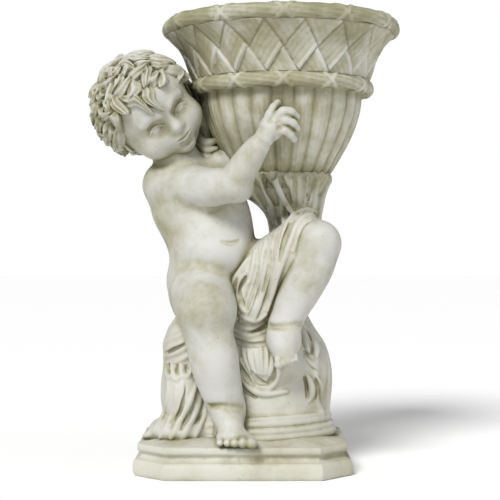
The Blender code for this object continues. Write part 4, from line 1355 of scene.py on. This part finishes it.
def plinth(material, surroundings):
    """The moulded plinth: roll, hollow, square edge and low mound, worn and chipped a little."""
    roll = np.linspace(-math.pi / 2, math.pi / 2, 17)
    hollow = np.linspace(0, 1, 11)[1:-1]
    inset = [
        ROLL_INSET * (1 - np.cos(roll)),
        TOP_EDGE_INSET + (HOLLOW_INSET - TOP_EDGE_INSET) * np.sin(math.pi * hollow),
        np.full(5, TOP_EDGE_INSET) + (0, 0, 0, 0.0008, 0.0026),
    ]
    height = [
        ROLL_HEIGHT * (1 + np.sin(roll)) / 2,
        ROLL_HEIGHT + HOLLOW_HEIGHT * hollow,
        PLINTH_HEIGHT - TOP_EDGE_HEIGHT * np.array([0.97, 0.6, 0.25, 0.07, 0.0]),
    ]
    # Painted shade: darker where the roll meets the floor and the hollow, deepest in the hollow's middle
    recess = [
        0.12 + 0.55 * np.abs(np.sin(roll)) ** 5,
        0.35 + 0.6 * np.sin(math.pi * hollow),
        np.array([0.25, 0.08, 0.02, 0.0, 0.06]),
    ]
    sides = plinth_rings(np.concatenate(inset))
    rise = np.concatenate(height)
    shrink = np.linspace(1, 0.06, 26)[1:, None, None]
    top = sides[-1:] * shrink
    share = 1 - shrink[:, 0, 0]
    mound = PLINTH_HEIGHT + MOUND_HEIGHT * ease(share, 0.0, 0.28)
    rings = np.concatenate([sides, top])
    levels = np.concatenate([rise, mound])
    points = np.concatenate([rings, np.broadcast_to(levels[:, None, None], rings.shape[:2] + (1,))], axis=2)
    # The moulding's painted shade, and a little darker towards the middle of the top
    dark = 0.35 * np.concatenate(recess + [0.16 + 0.1 * share])[:, None] + 0 * points[..., 0]
    seam = np.exp(-(((points[..., 0] - SEAM_X) / 0.0011) ** 2))
    seam = seam * (points[..., 1] < -0.1) * (levels < 0.03)[:, None]
    worn = 0.0011 * hills_at(points, 0.045, 7) + 0.0006 * hills_at(points, 0.012, 8) - 0.0012 * seam
    outward = unit(points[..., :2] / np.array([PLINTH_WIDTH, PLINTH_DEPTH]))
    upright = (levels > PLINTH_HEIGHT + 0.0001)[:, None]
    points[..., :2] += np.where(upright, 0, np.where(worn < 0, worn, worn * 0.4))[..., None] * outward
    points[..., 2] += np.where(upright, worn * 1.6, 0)
    points[0, :, 2] = 0.0
    mesh = closed_sweep("moulded_plinth", points)
    near = shade_and_wash_of(*points_and_normals(mesh), surroundings)
    return piece("moulded_plinth", mesh, material, with_ends(dark + 0.7 * seam) + near)


class Value:
    """A number, colour or vector on its way through a material: + - and * on it add Math nodes."""

    def __init__(self, finish, socket):
        """A socket of one of the finish's nodes."""
        self.finish = finish
        self.socket = socket

    def maths(self, operation, first, second):
        """A Math node on two values."""
        return self.finish.node("ShaderNodeMath", {"operation": operation}, {0: first, 1: second})

    def __add__(self, other):
        return self.maths("ADD", self, other)

    __radd__ = __add__

    def __mul__(self, other):
        return self.maths("MULTIPLY", self, other)

    __rmul__ = __mul__

    def __sub__(self, other):
        return self.maths("SUBTRACT", self, other)

    def __rsub__(self, other):
        return self.maths("SUBTRACT", other, self)

    def eased(self, low, high):
        """0 up to low, 1 from high, and a smooth rise between."""
        values = {"Value": self, "From Min": low, "From Max": high}
        return self.finish.node("ShaderNodeMapRange", {"interpolation_type": "SMOOTHSTEP"}, values)


class Finish:
    """A material, whose nodes are made one call each."""

    def __init__(self, name):
        """A new material with its Principled shader."""
        self.material = bpy.data.materials.new(name)
        self.material.use_nodes = True
        self.tree = self.material.node_tree
        self.shader = self.tree.nodes["Principled BSDF"]

    def node(self, kind, settings, values, output=0):
        """Adds a node: its settings first, then its sockets' values or links."""
        made = self.tree.nodes.new(kind)
        for name, setting in settings.items():
            setattr(made, name, setting)
        for name, value in values.items():
            if isinstance(value, Value):
                self.tree.links.new(value.socket, made.inputs[name])
            else:
                made.inputs[name].default_value = value
        return Value(self, made.outputs[output])

    def noise(self, place, scale, detail, roughness):
        """Cloudy noise from 0 to 1 at a scale in waves to the metre."""
        values = {"Vector": place, "Scale": scale, "Detail": detail, "Roughness": roughness}
        return self.node("ShaderNodeTexNoise", {}, values)

    def mixed(self, share, first, second):
        """One colour turning into another."""
        settings = {"data_type": "RGBA", "clamp_factor": True}
        return self.node("ShaderNodeMix", settings, {0: share, 6: first, 7: second}, output=2)

    def end(self, socket, value):
        """Links a value to one of the shader's sockets."""
        self.tree.links.new(value.socket, self.shader.inputs[socket])


def antique_stone(name, wash, cool_highlight, streak, recess_darkening=1.0):
    """Cast stone, painted ivory with an olive-brown wash. The recess value darkens it, as wash and as painted
    shade in recesses and between parts, and open places turn bluish white as a painted highlight tone.

    wash is how much stays on open places, cool_highlight how far the open places turn to that bluish white,
    streak how strongly the wash has run down and recess_darkening how strongly the recess value darkens."""
    finish = Finish(name)
    place = finish.node("ShaderNodeTexCoord", {}, {}, output=3)
    stretched = finish.node(
        "ShaderNodeVectorMath", {"operation": "MULTIPLY"}, {0: place, 1: (1.0, 1.0, 0.12)}
    )
    recess = finish.node("ShaderNodeAttribute", {"attribute_name": "recess"}, {}, output=2)
    clouds = finish.noise(place, 8.0, 5.0, 0.6)
    mottle = finish.noise(place, 42.0, 6.0, 0.65)
    runs = finish.noise(stretched, 70.0, 4.0, 0.6)
    grains = finish.noise(place, 420.0, 3.0, 0.7)
    specks = finish.noise(place, 190.0, 2.0, 0.5)
    # The wash over the stone, and painted shade where the recess value is high
    held = recess * recess_darkening * (0.5 + 0.8 * mottle) + (clouds - 0.5) * 1.1 + (mottle - 0.5) * 0.6
    held = held + (runs - 0.5) * streak + wash
    thin = held.eased(0.02, 0.7)
    umber_wash_and_shade = held.eased(0.6, 1.25)
    open_place = 1 - recess.eased(0.0, 0.35)
    colour = finish.mixed(clouds.eased(0.38, 0.66), IVORY, CREAM)
    # Painted highlight tone: open places turn bluish white
    colour = finish.mixed(open_place * cool_highlight * (1 - thin), colour, COOL_HIGHLIGHT)
    # Olive and then umber: the wash, laid deeper in recesses as painted shade
    colour = finish.mixed(thin * 0.85, colour, OLIVE)
    colour = finish.mixed(umber_wash_and_shade * 0.9, colour, UMBER)
    colour = finish.mixed(specks.eased(0.70, 0.78) * 0.3, colour, UMBER)
    finish.end("Base Color", colour)
    finish.end("Roughness", 0.56 + 0.25 * thin + 0.12 * (grains - 0.5))
    relief = grains * 0.5 + specks.eased(0.62, 0.75) * -0.8 + mottle * 1.2
    bump = finish.node("ShaderNodeBump", {}, {"Strength": 0.55, "Distance": GRAIN, "Height": relief})
    finish.end("Normal", bump)
    finish.shader.inputs["Specular IOR Level"].default_value = 0.35
    return finish.material


def plain_floor():
    """A plain pale floor under the plinth."""
    finish = Finish("pale_floor")
    finish.shader.inputs["Base Color"].default_value = FLOOR_COLOUR
    finish.shader.inputs["Roughness"].default_value = 0.9
    points = FLOOR_REACH * np.array([(-1, -1, 0), (1, -1, 0), (1, 1, 0), (-1, 1, 0)])
    mesh = mesh_of("floor", points, np.array([[0, 1, 2, 3]]))
    mesh.materials.append(finish.material)
    floor = bpy.data.objects.new("floor", mesh)
    bpy.context.scene.collection.objects.link(floor)


def lamp(name, place, target, size, power):
    """A soft square lamp aimed at a point."""
    light = bpy.data.lights.new(name, "AREA")
    light.size = size
    light.energy = power
    obj = bpy.data.objects.new(name, light)
    bpy.context.scene.collection.objects.link(obj)
    obj.location = place
    way = np.array(target) - np.array(place)
    obj.rotation_euler = (
        math.acos(-way[2] / np.linalg.norm(way)), 0, math.atan2(way[1], way[0]) - math.pi / 2
    )


def studio():
    """Camera at the photograph's place, a soft sun from above in front, a fill and a pale surround."""
    camera = bpy.data.cameras.new("camera")
    camera.sensor_width = 36.0
    camera.lens = CAMERA_LENS
    obj = bpy.data.objects.new("camera", camera)
    bpy.context.scene.collection.objects.link(obj)
    obj.location = CAMERA_PLACE
    obj.rotation_euler = (math.pi / 2, 0, 0)
    bpy.context.scene.camera = obj
    bpy.context.scene.view_settings.view_transform = "Standard"
    sun = bpy.data.lights.new("key", "SUN")
    sun.energy = KEY_STRENGTH
    sun.angle = KEY_SPREAD
    obj = bpy.data.objects.new("key", sun)
    bpy.context.scene.collection.objects.link(obj)
    obj.rotation_euler = (math.radians(KEY_TILT), 0, math.radians(KEY_TURN))
    lamp("fill", (1.9, -1.2, 0.7), (0.0, 0.0, 0.34), 1.4, FILL_POWER)
    world = bpy.data.worlds.new("pale_surround")
    world.use_nodes = True
    tree = world.node_tree
    surround = tree.nodes["Background"]
    surround.inputs["Color"].default_value = (1.0, 1.0, 1.0, 1)
    seen = tree.nodes.new("ShaderNodeLightPath").outputs["Is Camera Ray"]
    strength = tree.nodes.new("ShaderNodeMapRange")
    tree.links.new(seen, strength.inputs["Value"])
    strength.inputs["To Min"].default_value = AMBIENT_STRENGTH
    strength.inputs["To Max"].default_value = 1.0
    tree.links.new(strength.outputs["Result"], surround.inputs["Strength"])
    bpy.context.scene.world = world


def main():
    """Models the three blocks of clay, then makes the pieces, the floor and the studio."""
    body_clay = Clay((-16.5, -16.2, -0.6), (15.5, 15.2, 53.0), BODY_CELL)
    for part in (torso, belly, right_arm, left_arm, right_leg, left_thigh, left_shin):
        part(body_clay)
    body_clay.roughen(3.0, 0.05, 11)
    cloth_clay = Clay((-16.5, -13.2, -0.6), (15.5, 11.0, 53.0), CLOTH_CELL)
    for part in (stump, column, cloth_masses):
        part(cloth_clay)
    pleat(cloth_clay, (-13, -10, 2.0), (14.5, 10.5, 20.0), (0.6, 0.4), 46, 0.5, 2.2, 0.05, 21)
    for part in (
        column_folds, collar_notches, lap_folds, side_folds, stump_flaps, hem, shoulder_cloth, bowl_room
    ):
        part(cloth_clay)
    cloth_clay.roughen(1.6, 0.07, 12)
    head_clay = Clay((-9.2, -9.6, -8.6), (9.2, 8.2, 10.0), HEAD_CELL, HEAD_MIDDLE, HEAD_ROWS)
    for part in (head_shape, eyes, nose, mouth, ears, hair):
        part(head_clay)
    head_clay.roughen(2.2, 0.025, 13)
    everything = [body_clay.at, cloth_clay.at, head_clay.at, bowl_distance, plinth_distance]
    skin_stone = antique_stone("skin_stone", 0.16, 0.45, 0.25, recess_darkening=0.8)
    hair_stone = antique_stone("hair_stone", 0.08, 0.4, 0.15, recess_darkening=1.6)
    cloth_stone = antique_stone("cloth_stone", -0.05, 0.3, 0.15, recess_darkening=1.0)
    basket_stone = antique_stone("basket_stone", 0.16, 0.15, 0.35)
    plinth_stone = antique_stone("plinth_stone", 0.02, 0.1, 0.25, recess_darkening=0.75)
    from_clay("figure", body_clay, skin_stone, everything)
    from_clay("drapery", cloth_clay, cloth_stone, everything)
    from_clay("curly_head", head_clay, hair_stone, everything, hair_recess_darkening)
    basket(basket_stone, everything[:3])
    plinth(plinth_stone, everything[:2])
    plain_floor()
    studio()


main()
